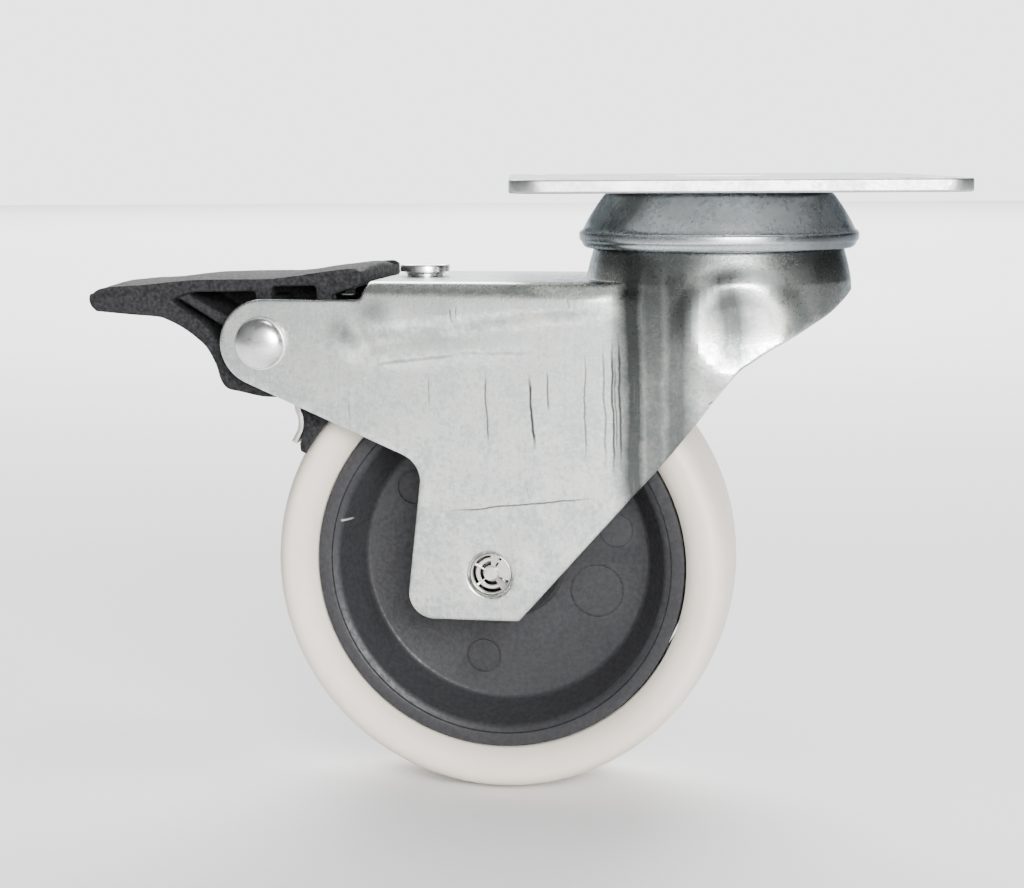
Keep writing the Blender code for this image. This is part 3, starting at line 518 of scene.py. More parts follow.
def rubber():
    """Soft light grey tread: warm, satin, with faint smears and a few dark specks."""
    n = Nodes("tyre_rubber", (0.70, 0.665, 0.62), 0.55, 0.0)
    n.shader.inputs["Subsurface Weight"].default_value = 0.05
    n.shader.inputs["Subsurface Radius"].default_value = (0.004, 0.003, 0.002)
    clouds = n.noise(60.0, 4.0, 0.6, 0.3)
    base = n.mix(n.ramp(clouds, 0.3, 0.75), (0.77, 0.70, 0.605), (0.70, 0.63, 0.545))
    specks = n.ramp(n.cells(420.0), 0.0, 0.035, 1.0, 0.0)
    few = n.ramp(n.noise(90.0, 1.0), 0.60, 0.64)
    n.colour(n.mix(n.math("MULTIPLY", specks, few), base, (0.34, 0.31, 0.28)))
    n.roughness(n.ramp(clouds, 0.3, 0.7, 0.46, 0.60))
    n.normal(n.bump(n.noise(1500.0, 3.0), 0.06, 0.0002))
    return n.material


def moulded(name, dark, light, rough, grain_scale, grain_depth, clouds_scale=120.0, marks=(), gloss=0.30):
    """Moulded plastic: a pebbled grain whose tops are slightly lighter and smoother."""
    n = Nodes(name, dark, rough, 0.0)
    n.shader.inputs["Specular IOR Level"].default_value = gloss
    grain = n.noise(grain_scale, 3.0, 0.6)
    clouds = n.noise(clouds_scale, 3.0, 0.6)
    shade = n.math("ADD", n.math("MULTIPLY", n.ramp(grain, 0.35, 0.7), 0.6), n.math("MULTIPLY", clouds, 0.4))
    colour = n.mix(shade, dark, light)
    if marks:
        colour = n.mix(n.strokes(marks), colour, (0.42, 0.42, 0.42))
    n.colour(colour)
    n.roughness(n.ramp(grain, 0.35, 0.65, rough + 0.10, rough - 0.08))
    n.normal(n.bump(grain, 0.5, grain_depth))
    return n.material


# painted dark reflections on the fork's side, as soft straight bands
FORK_PAINTED_REFLECTIONS = (
    (-11.7, -4.0, -10.9, -72.0, 3.6, 0.97), (-8.4, -6.0, -7.8, -66.0, 4.2, 0.80),
    (-4.8, -6.0, -4.4, -60.0, 4.2, 0.86), (2.7, -11.0, 4.5, -31.0, 4.6, 0.93),
    (-58.0, -25.2, -38.4, -23.9, 1.7, 0.34), (-42.0, -23.9, -16.5, -20.3, 1.6, 0.32),
    (-58.4, -24.4, -54.2, -26.0, 2.4, 0.45),
)
# scratches; the first two run along the side's crease and are painted shade there
FORK_MARKS = (
    (-53.0, -29.4, -38.4, -27.4, 0.35, 0.45), (-40.0, -27.4, -27.0, -27.1, 0.35, 0.32),
    (-35.0, -29.9, -34.5, -42.1, 0.22, 0.8), (-28.0, -30.1, -27.1, -42.7, 0.30, 1.0),
    (-25.1, -29.8, -24.8, -36.4, 0.20, 0.8), (-19.2, -26.6, -19.0, -44.6, 0.20, 0.7),
    (-44.1, -30.8, -43.8, -36.0, 0.18, 0.5), (-41.5, -52.6, -17.1, -49.8, 0.17, 0.9),
    (-16.4, -25.0, -15.8, -45.3, 0.24, 0.6), (-15.1, -24.2, -14.4, -46.9, 0.26, 0.9),
    (-14.0, -23.4, -13.3, -45.3, 0.26, 0.9), (-14.6, -27.4, -14.0, -43.3, 0.18, 0.7),
    (-40.3, -20.2, -40.1, -22.6, 0.20, 0.6), (-39.4, -19.8, -39.3, -22.2, 0.18, 0.5),
    (-28.8, -47.0, -27.9, -50.5, 0.18, 0.3), (-22.0, -18.6, -21.4, -20.2, 0.25, 0.4),
    (-57.0, -35.2, -56.8, -38.4, 0.16, 0.4),
)
# painted shade: darker under the race shell at the crown's top, round the crown's right side, towards the
# bottom and towards the back
FORK_PAINTED_SHADE = (
    ((0.0, 0.0, 1.0), -16.4, -13.0, 0.72), ((1.0, 0.0, 0.0), 9.0, 17.0, 0.72),
    ((0.0, 0.0, 1.0), -30.0, -72.0, 0.22), ((-1.0, 0.0, 0.0), 50.0, 70.0, 0.14),
)
ZINC = zinc(
    "fork_zinc", (0.84, 0.85, 0.80), (0.54, 0.60, 0.585), 0.28,
    marks=FORK_MARKS, painted_shade=FORK_PAINTED_SHADE, bands=FORK_PAINTED_REFLECTIONS,
)
PLATE_ZINC = zinc("plate_zinc", (0.54, 0.54, 0.53), (0.42, 0.425, 0.42), 0.36)
# painted shade: the shell darker towards both sides, where it curves away
SHELL_PAINTED_SHADE = (((1.0, 0.0, 0.0), 5.0, 16.0, 0.80), ((-1.0, 0.0, 0.0), 7.0, 17.0, 0.70))
SHELL_ZINC = zinc("shell_zinc", (0.54, 0.575, 0.59), (0.46, 0.495, 0.51), 0.24, 0.4, painted_shade=SHELL_PAINTED_SHADE)
SHEARED = cut_edge()
BRIGHT = bright("rivet_steel", (0.88, 0.88, 0.87), 0.25)
# its grooves get painted shade
AXLE_STEEL = bright("axle_steel", (0.84, 0.82, 0.77), 0.24, FORK_HALF - 1.9)
STRIP = bright("strip_steel", (0.62, 0.61, 0.58), 0.34)
RUBBER = rubber()
CORE_MARKS = ((-60.9, -55.9, -59.05, -55.8, 0.22, 0.9), (-46.5, -76.5, -45.6, -77.6, 0.10, 0.6))
CORE = moulded(
    "core_plastic", (0.015, 0.015, 0.017), (0.036, 0.036, 0.039), 0.43, 1400.0, 0.0001,
    clouds_scale=70.0, marks=CORE_MARKS,
)
PEDAL_BLACK = moulded(
    "pedal_plastic", (0.004, 0.004, 0.0045), (0.040, 0.040, 0.042), 0.66, 1700.0, 0.0005, gloss=0.10,
)
SEAL = moulded("seal_plastic", (0.015, 0.015, 0.015), (0.04, 0.04, 0.04), 0.5, 900.0, 0.0001)
NYLON = moulded("nylon", (0.66, 0.64, 0.57), (0.74, 0.72, 0.65), 0.45, 800.0, 0.00005)


# ---- plate and races ----------------------------------------------------------------------------
PLATE_CORNER_R, PLATE_EDGE_R = 4.5, 0.35
BOLT_SPACING_X, BOLT_SPACING_Y, BOLT_HOLE_R = 51.5, 61.5, 4.25
KINGPIN_HEAD_HOLE_R = 7.5


def make_top_plate():
    low, high = (Vector(corner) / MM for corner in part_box("top_plate"))
    outline = []
    for sx, sy, start in ((1, 1, 0), (-1, 1, 90), (-1, -1, 180), (1, -1, 270)):
        centre = (sx * (high.x - PLATE_CORNER_R), sy * (high.y - PLATE_CORNER_R))
        outline += arc(centre, PLATE_CORNER_R, start, start + 90, 14)
    outlines = [outline]
    for sx in (-1, 1):
        for sy in (-1, 1):
            outlines.append(hole((sx * BOLT_SPACING_X / 2, sy * BOLT_SPACING_Y / 2), BOLT_HOLE_R))
    outlines.append(hole((0.0, 0.0), KINGPIN_HEAD_HOLE_R))
    plate = slab("top_plate_shape", outlines, low.z - high.z, 0.0, "Z", PLATE_EDGE_R, 3)
    finish_piece(
        plate, "top_plate_pressed", "plate", "top_plate", [PLATE_ZINC],
        turned=False, sharp=50.0,
    )


def make_race_shell():
    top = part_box("race_shell")[1][2] / MM
    outer = through([
        (17.3, 0.0), (18.25, -0.6), (18.95, -1.5), (19.85, -2.8), (20.85, -4.4), (21.5, -5.7),
    ], 6)
    band = [(21.75, -6.15), (22.15, -6.35)]
    band += arc((21.95, -6.75), 0.38, 60, 0, 4) + arc((21.9, -7.5), 0.4, 0, -60, 4)
    roll = through([(21.9, -8.1), (21.75, -8.5), (21.35, -8.9), (20.9, -9.0)], 4)
    inner = through([
        (20.5, -8.9), (20.4, -8.3), (20.7, -7.8), (20.7, -7.0), (19.8, -5.6), (18.8, -4.2), (17.9, -2.8),
        (17.0, -1.8),
    ], 3)
    bore = [(4.3, -1.8), (4.3, 0.0)]
    profile = [(r, top + z) for r, z in outer + band + roll + inner + bore]
    shell = revolve("race_shell_shape", profile)
    finish_piece(
        shell, "race_shell_pressed", "plate", "race_shell", [SHELL_ZINC],
        turned=False, sharp=40.0,
    )


def make_dust_seal():
    profile = [(20.5, -9.2)] + arc((20.2, -10.1), 0.3, 0, -90, 3) + [(19.8, -10.4), (19.7, -9.2)]
    seal = revolve("dust_seal_shape", profile)
    finish_piece(seal, "dust_seal_lip", "plate", "dust_seal", [SEAL], turned=False)


# ---- fork ---------------------------------------------------------------------------------------
def fork_side_outline():
    """The fork from its side: brake arms at the left, axle ears below, the crown's front at the right."""
    arm_r, slope = 6.95, -24.2
    end = arc((PIVOT.x, PIVOT.z), arm_r, 90.0, 270.0 + slope, 28)
    inner_corner = arc((-50.1, -47.8), 4.5, 90.0 + slope, 1.0, 8)
    rear_corner = arc((-43.4, -65.8), 4.2, 181.0, 270.0, 12)
    front_corner = arc((-30.2, -69.0), 1.0, 270.0, 318.0, 5)
    front = through([
        (-29.4, -69.6), (-14.9, -53.2), (-7.5, -44.9), (-1.8, -37.9), (4.2, -30.1), (6.6, -28.2),
    ], 4)[1:]
    front += through([
        (6.6, -28.2), (9.4, -26.3), (12.6, -24.3), (15.7, -22.6), (18.3, -20.9), (20.4, -18.9), (21.7, -17.2),
    ], 4)[1:]
    top = [(23.0, -16.0), (23.0, 0.0), (-53.3, 0.0), (-53.6, -15.6), (-54.0, -16.8), (-54.6, -18.0)]
    step = through([(-54.6, -18.0), (-55.0, -18.8), (-55.9, -19.15)], 4)[1:]
    return end + inner_corner + rear_corner + front_corner + front + top + step


FLARE_TOP, FLARE_END = -25.0, -52.0  # between these the crown's round front dies out into the flat legs
RING_STEPS = 128  # round the whole crown
SKIRT_STEPS = 108  # of those, round its front
SKIRT_BACK = -90.0  # where the skirt is left open, behind the brake arms
BLEND = 2.2  # half width of the soft corner between a leg and the crown
SHOULDER_END, SHOULDER_IN = -21.0, 0.15


def crown_radius(z):
    """The crown's outer radius, which still grows a little below the web's top."""
    return CROWN_R - SHOULDER_IN * (max(z - SHOULDER_END, 0.0) / (WEB_TOP - SHOULDER_END)) ** 2


def smooth_step(low, high, value):
    share = min(max((value - low) / (high - low), 0.0), 1.0)
    return share * share * (3.0 - 2.0 * share)


def skirt_outline(z, top, inset, edge_radius):
    """The fork's skirt at height z, seen from above: two straight sides joined by the crown's round front."""
    depth = min(top - z, edge_radius)
    side = FORK_HALF - inset
    if edge_radius > 0.0:
        side -= edge_radius - math.sqrt(edge_radius**2 - (edge_radius - depth) ** 2)
    radius = crown_radius(z) - inset
    flare = smooth_step(FLARE_END, FLARE_TOP, z)
    start = math.pi * SKIRT_STEPS / RING_STEPS
    points = [(SKIRT_BACK - inset, side)]
    for i in range(SKIRT_STEPS + 1):
        angle = start * (1.0 - 2.0 * i / SKIRT_STEPS)
        x = radius * math.cos(angle)
        round_y = abs(radius * math.sin(angle))
        extra = round_y - side
        if x < 0.0:
            if abs(extra) <= BLEND:
                swell = (extra + BLEND) ** 2 / (4.0 * BLEND)
            else:
                swell = max(extra, 0.0)
            y = side + flare * swell
        else:
            y = side + flare * extra if extra > 0.0 else round_y
        points.append((x, math.copysign(y, angle) if angle else 0.0))
    return points + [(SKIRT_BACK - inset, -side)]


def make_skirt(name, levels, top, inset, edge_radius):
    """The skirt's outlines at the levels, from the top down, as one closed solid."""
    bm = bmesh.new()
    rings = []
    for z in levels:
        rings.append([bm.verts.new((x, y, z)) for x, y in skirt_outline(z, top, inset, edge_radius)])
    for upper, lower in zip(rings, rings[1:]):
        for i in range(len(upper)):
            j = (i + 1) % len(upper)
            bm.faces.new((upper[i], upper[j], lower[j], lower[i]))
    bm.faces.new(rings[0])
    bm.faces.new(rings[-1])
    bmesh.ops.recalc_face_normals(bm, faces=bm.faces)
    return from_bmesh(name, bm)


SIDE_DENTS = ((-56.4, -25.3, 4.6, -0.42), (-50.8, -23.3, 5.0, 0.22), (-40.3, -21.4, 1.9, 0.12))
POCKET_X, POCKET_Z, POCKET_R, POCKET_DEPTH = 5.0, -23.6, 6.6, 0.65
LIP_R, LIP_HALF_WIDTH, LIP_HEIGHT = 7.4, 3.4, 0.55


def hump(distance, radius):
    """1 at the middle of a round press mark, 0 from its edge outwards."""
    share = min(distance / radius, 1.0)
    return (1.0 - share * share) ** 2


def side_press(x, z):
    """How far the fork's flat side stands out of its plane at x, z.

    It has a swelling under the web's bend, a crease below it, dents by the brake arm, a faint ring pressed
    round the axle, and the slight waves of pressed sheet.
    """
    along = min(max((x + 53.0) / 37.0, 0.0), 1.0)
    foot = -25.6 + 4.6 * along
    fade = smooth_step(-57.0, -50.0, x) * (1.0 - smooth_step(-20.0, -12.0, x))
    out = 0.0
    if z < -17.0:
        share = min((-17.0 - z) / (-17.0 - foot), 1.0)
        out += 0.62 * fade * math.sin(math.pi * share**1.35)
    crease = -29.2 + 2.2 * min(max((x + 52.0) / 24.0, 0.0), 1.0)
    crease_fade = smooth_step(-60.0, -50.0, x) * (1.0 - smooth_step(-36.0, -24.0, x))
    rise = smooth_step(crease - 0.5, crease + 0.9, z)
    out += 0.18 * crease_fade * rise * (1.0 - smooth_step(crease + 1.2, crease + 4.2, z))
    for dent_x, dent_z, radius, height in SIDE_DENTS:
        out += height * hump(math.hypot(x - dent_x, z - dent_z), radius)
    around = math.hypot(x - AXLE.x, z - AXLE.z)
    bearing = math.degrees(math.atan2(z - AXLE.z, x - AXLE.x))
    ring_fade = 1.0 - smooth_step(35.0, 85.0, abs(bearing - 5.0))
    out += 0.16 * ring_fade * (1.0 - smooth_step(6.6, 7.5, around))
    out += 0.06 * noise.noise(Vector((x, z, 3.0)) * 0.075) + 0.03 * noise.noise(Vector((x, z, 9.0)) * 0.19)
    return out


def crown_press(x, y, z):
    """How far the crown's round front stands out: a round pocket pressed in each side, with a raised lip."""
    off = math.hypot(x - POCKET_X, z - POCKET_Z)
    out = -POCKET_DEPTH * hump(off, POCKET_R) + LIP_HEIGHT * hump(abs(off - LIP_R), LIP_HALF_WIDTH)
    out += 0.07 * noise.noise(Vector((x, y, z)) * 0.16)
    return out


def pressed(obj):
    """Cuts the fork's faces into a fine grid and moves its points by the press marks, alike on both sides."""
    bm = opened(obj)
    cuts = [((1.0, 0.0, 0.0), -77.0 + 1.15 * i) for i in range(86)]
    cuts += [((0.0, 0.0, 1.0), -69.3 + 1.05 * i) for i in range(53)]
    diced(bm, cuts)
    flat = FORK_HALF - SHEET - 0.3
    for vert in bm.verts:
        x, y, z = vert.co
        if x > -14.0 and math.hypot(x, y) > CROWN_R - SHEET - 1.5:
            fade = smooth_step(-14.0, -6.0, x) * (1.0 - smooth_step(-16.4, -11.5, z))
            outward = Vector((x, y, 0.0)).normalized()
            vert.co += outward * crown_press(x, y, z) * fade
        if abs(y) > flat and x < -9.0:
            fade = 1.0 - smooth_step(-16.0, -10.0, x)
            vert.co.y += math.copysign(side_press(x, z) * fade, y)
    return closed(bm, obj)


SKIRT_FOOT = -85.0  # below the axle ears, so that the side outline cuts them
FORK_WELD = 0.08  # points of the fork closer than this become one
FORK_EDGE_R = 0.34


def make_fork():
    angles = (0, 12, 24, 36, 48, 60, 75, 90)
    rounding = [WEB_TOP - BEND_R * (1.0 - math.cos(math.radians(a))) for a in angles]
    flare = [-19.6, SHOULDER_END, -23.0] + [FLARE_TOP + (FLARE_END - FLARE_TOP) * i / 18 for i in range(19)]
    body = make_skirt("fork_shape", rounding + flare + [SKIRT_FOOT], WEB_TOP, 0.0, BEND_R)
    neck_line = through([
        (17.5, CROWN_TOP), (18.35, -8.05), (19.1, -9.1), (19.7, -10.6), (20.25, -12.4), (20.75, -14.3),
        (CROWN_R - SHOULDER_IN - 0.01, WEB_TOP),
    ], 5) + [(crown_radius(WEB_TOP - 0.5) - 0.01, WEB_TOP - 0.5)]
    neck_foot = [(20.5, WEB_TOP - 1.0), (0.0, WEB_TOP - 1.0)]
    neck = revolve("neck", [(0.0, CROWN_TOP)] + neck_line + neck_foot, RING_STEPS)
    body = combined(body, [neck], "UNION")
    inner_r = CROWN_R - SHEET - 0.05
    room_line = through([
        (16.3, CROWN_TOP - SHEET), (16.8, -10.3), (17.3, -11.5), (18.1, -13.3), (18.8, -15.0),
        (inner_r, -16.8),
    ], 3)
    room_foot = [(inner_r, WEB_TOP - SHEET - 0.6), (0.0, WEB_TOP - SHEET - 0.6)]
    room = revolve("room", [(0.0, CROWN_TOP - SHEET)] + room_line + room_foot, RING_STEPS)
    bay = make_skirt("bay", [WEB_TOP - SHEET] + flare + [SKIRT_FOOT - 10.0], WEB_TOP - SHEET, SHEET, 0.0)
    body = combined(body, [room, bay], "DIFFERENCE")
    side = slab("side", [fork_side_outline()], -THROUGH, THROUGH)
    for piece, material in ((body, ZINC), (body, SHEARED), (side, SHEARED)):
        piece.data.materials.append(material)
    body = combined(body, [side], "INTERSECT")
    cuts = [
        bar("crown_hole", 6.2, -12.0, -5.0),
        bar("axle_hole", AXLE_HOLE_R, -THROUGH, THROUGH, "Y", AXLE),
        bar("pivot_hole", PIVOT_HOLE_R, -THROUGH, THROUGH, "Y", PIVOT),
        bar("lever_hole", LEVER_HOLE_R, -22.0, -12.0, "Z", (LEVER.x, 0.0, 0.0)),
    ]
    body = combined(body, cuts, "DIFFERENCE")
    sheared = [i for i, material in enumerate(body.data.materials) if material is SHEARED]
    for polygon in body.data.polygons:
        polygon.material_index = 1 if polygon.material_index in sheared else 0
    bm = opened(body)
    bmesh.ops.remove_doubles(bm, verts=bm.verts, dist=FORK_WELD)
    keep = {"MATERIAL"}
    bmesh.ops.dissolve_limit(bm, angle_limit=SAME_PLANE, verts=bm.verts, edges=bm.edges, delimit=keep)
    body = pressed(bevelled(closed(bm, body), FORK_EDGE_R, 3, 48.0))
    finish_piece(body, "fork_pressed", "fork", "fork", [ZINC, SHEARED], sharp=38.0)


# ---- axle and rivets ----------------------------------------------------------------------------
def mirrored(half):
    """A (radius, y) outline on one side of the middle, followed by its mirror image."""
    return half + [(r, -y) for r, y in reversed(half)]


AXLE_LEAVES = ((-58.0, -30.0), (-22.0, 54.0), (63.0, 92.0), (149.0, 156.0), (217.0, 224.0))  # degrees
LEAF_INNER, LEAF_OUTER = 1.2, 3.05


def make_axle_rivet():
    end = FORK_HALF - 0.4
    half = [(radius, end - depth) for radius, depth in (
        (0.0, 0.5), (1.0, 0.55), (1.3, 0.85), (1.35, 2.6), (1.85, 2.6), (1.9, 0.95), (2.05, 0.8),
        (2.4, 0.8), (2.55, 0.95), (2.6, 2.3), (2.95, 2.3), (3.0, 0.25), (3.1, 0.05), (3.25, 0.05),
        (3.35, 0.3), (3.1, 2.6),
    )]
    rivet = revolve("axle_rivet_shape", mirrored(half), MEDIUM, "Y", AXLE)
    leaves = []
    for start, stop in AXLE_LEAVES:
        for side in (-1, 1):
            low, high = sorted((side * (end - 2.0), side * (end - 0.72)))
            outline = arc((AXLE.x, AXLE.z), LEAF_OUTER, start, stop, 8)
            outline += arc((AXLE.x, AXLE.z), LEAF_INNER, stop, start, 8)
            leaves.append(slab("leaf", [outline], low, high))
    rivet = combined(rivet, leaves, "UNION")
    rivet = bevelled(rivet, 0.05, 2, 50.0)
    finish_piece(rivet, "axle_rivet_flared", "fork", "axle_rivet", [AXLE_STEEL])
    ring = [(3.62, end + 0.15), (3.62, end - 0.5), (3.42, end - 0.5), (3.42, end - 0.05)]
    for name, sign in (("near_axle_seat", -1), ("far_axle_seat", 1)):
        profile = [(r, sign * y) for r, y in ring]
        seat = revolve(name + "_shape", profile, MEDIUM, "Y", AXLE)
        finish_piece(seat, name, "fork", None, [ZINC])


def make_pedal_rivet():
    seat = FORK_HALF + 0.3
    rise = [math.radians(90.0 * i / 14) for i in range(15)]
    dome = [(4.0 * math.sin(a), seat + 0.75 + 1.65 * math.cos(a)) for a in rise]
    half = dome + [(4.0, seat + 0.42), (3.85, seat + 0.36), (4.2, seat + 0.30), (4.25, seat + 0.22)]
    half += [(4.25, seat + 0.06), (4.15, seat), (2.5, seat)]
    rivet = revolve("pedal_rivet_shape", mirrored(half), MEDIUM, "Y", PIVOT)
    finish_piece(rivet, "pedal_rivet_domed", "fork", "pedal_rivet", [BRIGHT])


def make_lever_rivet():
    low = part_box("lever_rivet")[0][2] / MM
    head = [(0.0, -14.2), (3.2, -14.2)] + arc((3.7, -14.6), 0.4, 90, 0, 4)
    head += [(4.1, -15.4), (3.8, -15.7), (3.0, -15.75)]
    foot = [(3.0, -16.1), (2.5, -16.1), (2.5, low + 1.2), (3.8, low + 1.2), (3.4, low + 0.4), (0.0, low)]
    rivet = revolve("lever_rivet_shape", head + foot, MEDIUM, "Z", (LEVER.x, 0.0, 0.0))
    finish_piece(rivet, "lever_rivet_headed", "fork", "lever_rivet", [BRIGHT])


# ---- wheel --------------------------------------------------------------------------------------
def make_tyre():
    crown = through([
        (30.4, 9.4), (31.2, 10.45), (32.4, 11.35), (33.8, 11.85), (34.8, 11.9), (35.7, 11.4),
        (36.45, 10.2), (36.95, 8.3), (37.25, 5.8), (37.42, 3.0), (TYRE_R, 0.0),
    ], 4)
    profile = crown + [(r, -y) for r, y in reversed(crown[:-1])]
    tyre = revolve("tyre_shape", profile, WHEEL_STEPS, "Y", AXLE)
    finish_piece(tyre, "tyre_moulded", "wheel", "tyre", [RUBBER])


EJECTOR_MARKS = (
    (-4.0, -16.7, 2.75), (18.1, 5.0, 2.75), (15.0, -5.1, 4.3), (-15.5, 11.4, 2.75), (3.0, 18.5, 2.75),
)
MARK_FLOOR = 1.68  # from the middle to the bottom of a ring round an ejector mark
MARK_HALF_WIDTH = 0.17


def make_wheel_core():
    half = [(5.9, 13.0), (8.2, 13.0), (8.6, 12.85), (8.8, 12.5), (9.15, 3.4), (9.45, 2.5), (10.1, 2.0)]
    half += [(23.2, 2.0), (23.7, 2.2), (24.1, 2.7), (26.6, 8.1), (26.9, 8.5), (27.4, 8.75), (27.9, 8.95)]
    half += [(28.05, 9.3), (28.3, 9.4), (30.0, 9.4), (30.1, 9.3)]
    core = revolve("wheel_core_shape", mirrored(half), WHEEL_STEPS, "Y", AXLE)
    rings = []
    for x, z, radius in EJECTOR_MARKS:
        for side in (-1, 1):
            outer, inner = radius + MARK_HALF_WIDTH, radius - MARK_HALF_WIDTH
            low, high = sorted((side * MARK_FLOOR, side * 2.3))
            profile = [(outer, high), (outer, low), (inner, low), (inner, high)]
            rings.append(revolve("witness_ring", profile, 48, "Y", (AXLE.x + x, 0.0, AXLE.z + z)))
    core = combined(core, rings, "DIFFERENCE")
    finish_piece(core, "wheel_core_moulded", "wheel", "wheel_core", [CORE], sharp=30.0)


# ---- pedal, strip and shoe ----------------------------------------------------------------------
PEDAL_TOP = [
    (-100.7, -18.2), (-98.6, -17.2), (-92.0, -16.7), (-84.0, -15.9), (-77.0, -15.7), (-70.0, -15.55),
    (-62.0, -14.45), (-57.0, -13.9), (-55.6, -14.4),
]
PEDAL_UNDER = [
    (-66.7, -34.9), (-69.6, -35.1), (-72.5, -35.0), (-75.9, -34.3), (-78.1, -33.8), (-79.2, -32.3),
    (-79.9, -30.0), (-81.3, -27.4), (-82.8, -25.9), (-85.3, -24.1), (-87.9, -22.8), (-89.6, -22.3),
    (-94.0, -22.0), (-100.0, -21.5),
]
PEDAL_HALF, PEDAL_INNER = 14.0, 11.4
PEDAL_CORNER_R = 0.7
PAD_DEPTH = 2.0
PAD_SHARES = (0.0, 0.2, 0.4, 0.6, 0.75, 0.85, 0.93)  # of the half width, where the pad's top is cut to bend
PAD_DROP = 0.75  # of the long edges below the middle; it doubles towards the fork


def height_of(line, x):
    """The height of an (x, z) line at x, or at its nearer end."""
    for (x0, z0), (x1, z1) in zip(line, line[1:]):
        if x0 <= x <= x1:
            return z0 + (z1 - z0) * (x - x0) / (x1 - x0)
    return line[0][1] if x < line[0][0] else line[-1][1]


def crown_pad(obj, top_line):
    """Bends the pad's flat top down towards its long edges, and waves it slightly as worn plastic is."""
    bm = opened(obj)
    offsets = [side * share * PEDAL_HALF for share in PAD_SHARES for side in (-1, 1)]
    cuts = [((0.0, 1.0, 0.0), offset) for offset in offsets[1:]]
    cuts += [((1.0, 0.0, 0.0), -100.0 + 1.6 * i) for i in range(28)]
    diced(bm, cuts)
    for vert in bm.verts:
        x, y, z = vert.co
        if z > height_of(top_line, x) - 0.35:
            drop = PAD_DROP + PAD_DROP * smooth_step(-72.0, -58.0, x)
            wave = 0.10 * noise.noise(Vector((x, y, 2.0)) * 0.25)
            wave += 0.05 * noise.noise(Vector((x, y, 7.0)) * 0.7)
            vert.co.z += wave - drop * abs(y / PEDAL_HALF) ** 2.5
    return closed(bm, obj)


def make_pedal():
    """Two side walls with windows, under a foot pad, tied by a slanting web and a middle rib."""
    nose = through([(-100.0, -21.5), (-100.9, -20.6), (-101.2, -19.3), (-100.7, -18.2)], 4)[1:]
    right = [(-55.5, -16.4), (-55.9, -17.1), (-57.0, -17.5), (-58.8, -18.0), (-60.5, -18.6)]
    right += [(-60.5, -22.5), (-64.0, -24.0), (-64.9, -30.0)]
    top_line = through(PEDAL_TOP, 4)
    outline = top_line + right + through(PEDAL_UNDER, 4) + nose[:-1]
    pedal = slab("pedal_shape", [outline], -PEDAL_HALF, PEDAL_HALF)
    rear_room = [(x, z - PAD_DEPTH) for x, z in PEDAL_TOP[4:7]]
    rear_room += [(-57.7, -16.3), (-57.7, -18.2), (-54.0, -18.2), (-54.0, -40.0), (-68.4, -40.0)]
    rear_room += [(-68.4, -35.6), (-65.7, -31.8), (-65.2, -28.0), (-66.0, -20.4), (-71.2, -19.0)]
    rear_room += [(-76.5, -19.5)]
    nose_room = [(-97.5, -19.4), (-91.5, -18.7), (-90.0, -18.6), (-90.0, -25.0), (-99.0, -25.0)]
    nose_room = rounded_corners(nose_room, 0.8)
    window = rounded_corners([
        (-87.2, -19.5), (-85.2, -21.1), (-82.6, -22.6), (-81.0, -24.1), (-79.0, -26.5), (-76.6, -25.5),
        (-75.0, -21.5), (-73.0, -20.3), (-73.0, -18.05), (-83.5, -18.25),
    ], PEDAL_CORNER_R)
    small_window = [(-70.3, -17.3), (-70.3, -20.2), (-63.0, -20.2), (-63.0, -17.1)]
    small_window = rounded_corners(small_window, PEDAL_CORNER_R)
    cuts = [slab("rear_room", [rear_room], -PEDAL_INNER, PEDAL_INNER)]
    cuts += [slab("nose_room", [nose_room], -PEDAL_INNER, PEDAL_INNER)]
    cuts += [slab("window", [window], -THROUGH, THROUGH)]
    cuts += [slab("small_window", [small_window], -THROUGH, THROUGH)]
    cuts += [bar("pivot_bore", PIVOT_HOLE_R, -THROUGH, THROUGH, "Y", PIVOT)]
    pedal = combined(pedal, cuts, "DIFFERENCE")
    web = slab("web", [[(-88.5, -17.8), (-86.2, -17.6), (-75.2, -23.6), (-76.2, -25.2)]], -13.7, 13.7)
    rib_outline = [(-86.0, -17.5), (-61.5, -16.2), (-61.5, -19.0), (-66.5, -20.4), (-71.5, -23.0)]
    rib_outline += [(-76.5, -24.0)]
    pedal = combined(pedal, [web, slab("rib", [rib_outline], -0.9, 0.9)], "UNION")
    pedal = crown_pad(bevelled(pedal, 0.45, 3, 40.0), top_line)
    finish_piece(pedal, "pedal_moulded", "pedal", "pedal", [PEDAL_BLACK], sharp=50.0)


LEVER_LINE = [
    (-56.0, -19.9), (-58.5, -21.2), (-61.2, -26.0), (-64.5, -31.8), (-67.0, -35.5), (-67.2, -37.2),
    (-66.7, -38.7), (-66.7, -40.4), (-67.3, -41.8), (-67.9, -42.8),
]
STRIP_THICK, STRIP_HALF = 0.9, 11.0
TONGUE_HALF = 1.3  # the strip's front end, which locks the swivel


def strip_outline(line, thick):
    """The closed outline of a bent strip whose middle runs along the line."""
    sides = ([], [])
    for i, (x, z) in enumerate(line):
        before, after = Vector(line[max(i - 1, 0)]), Vector(line[min(i + 1, len(line) - 1)])
        along = (after - before).normalized()
        normal = Vector((-along.y, along.x)) * thick / 2
        sides[0].append((x + normal.x, z + normal.y))
        sides[1].append((x - normal.x, z - normal.y))
    return sides[0] + sides[1][::-1]


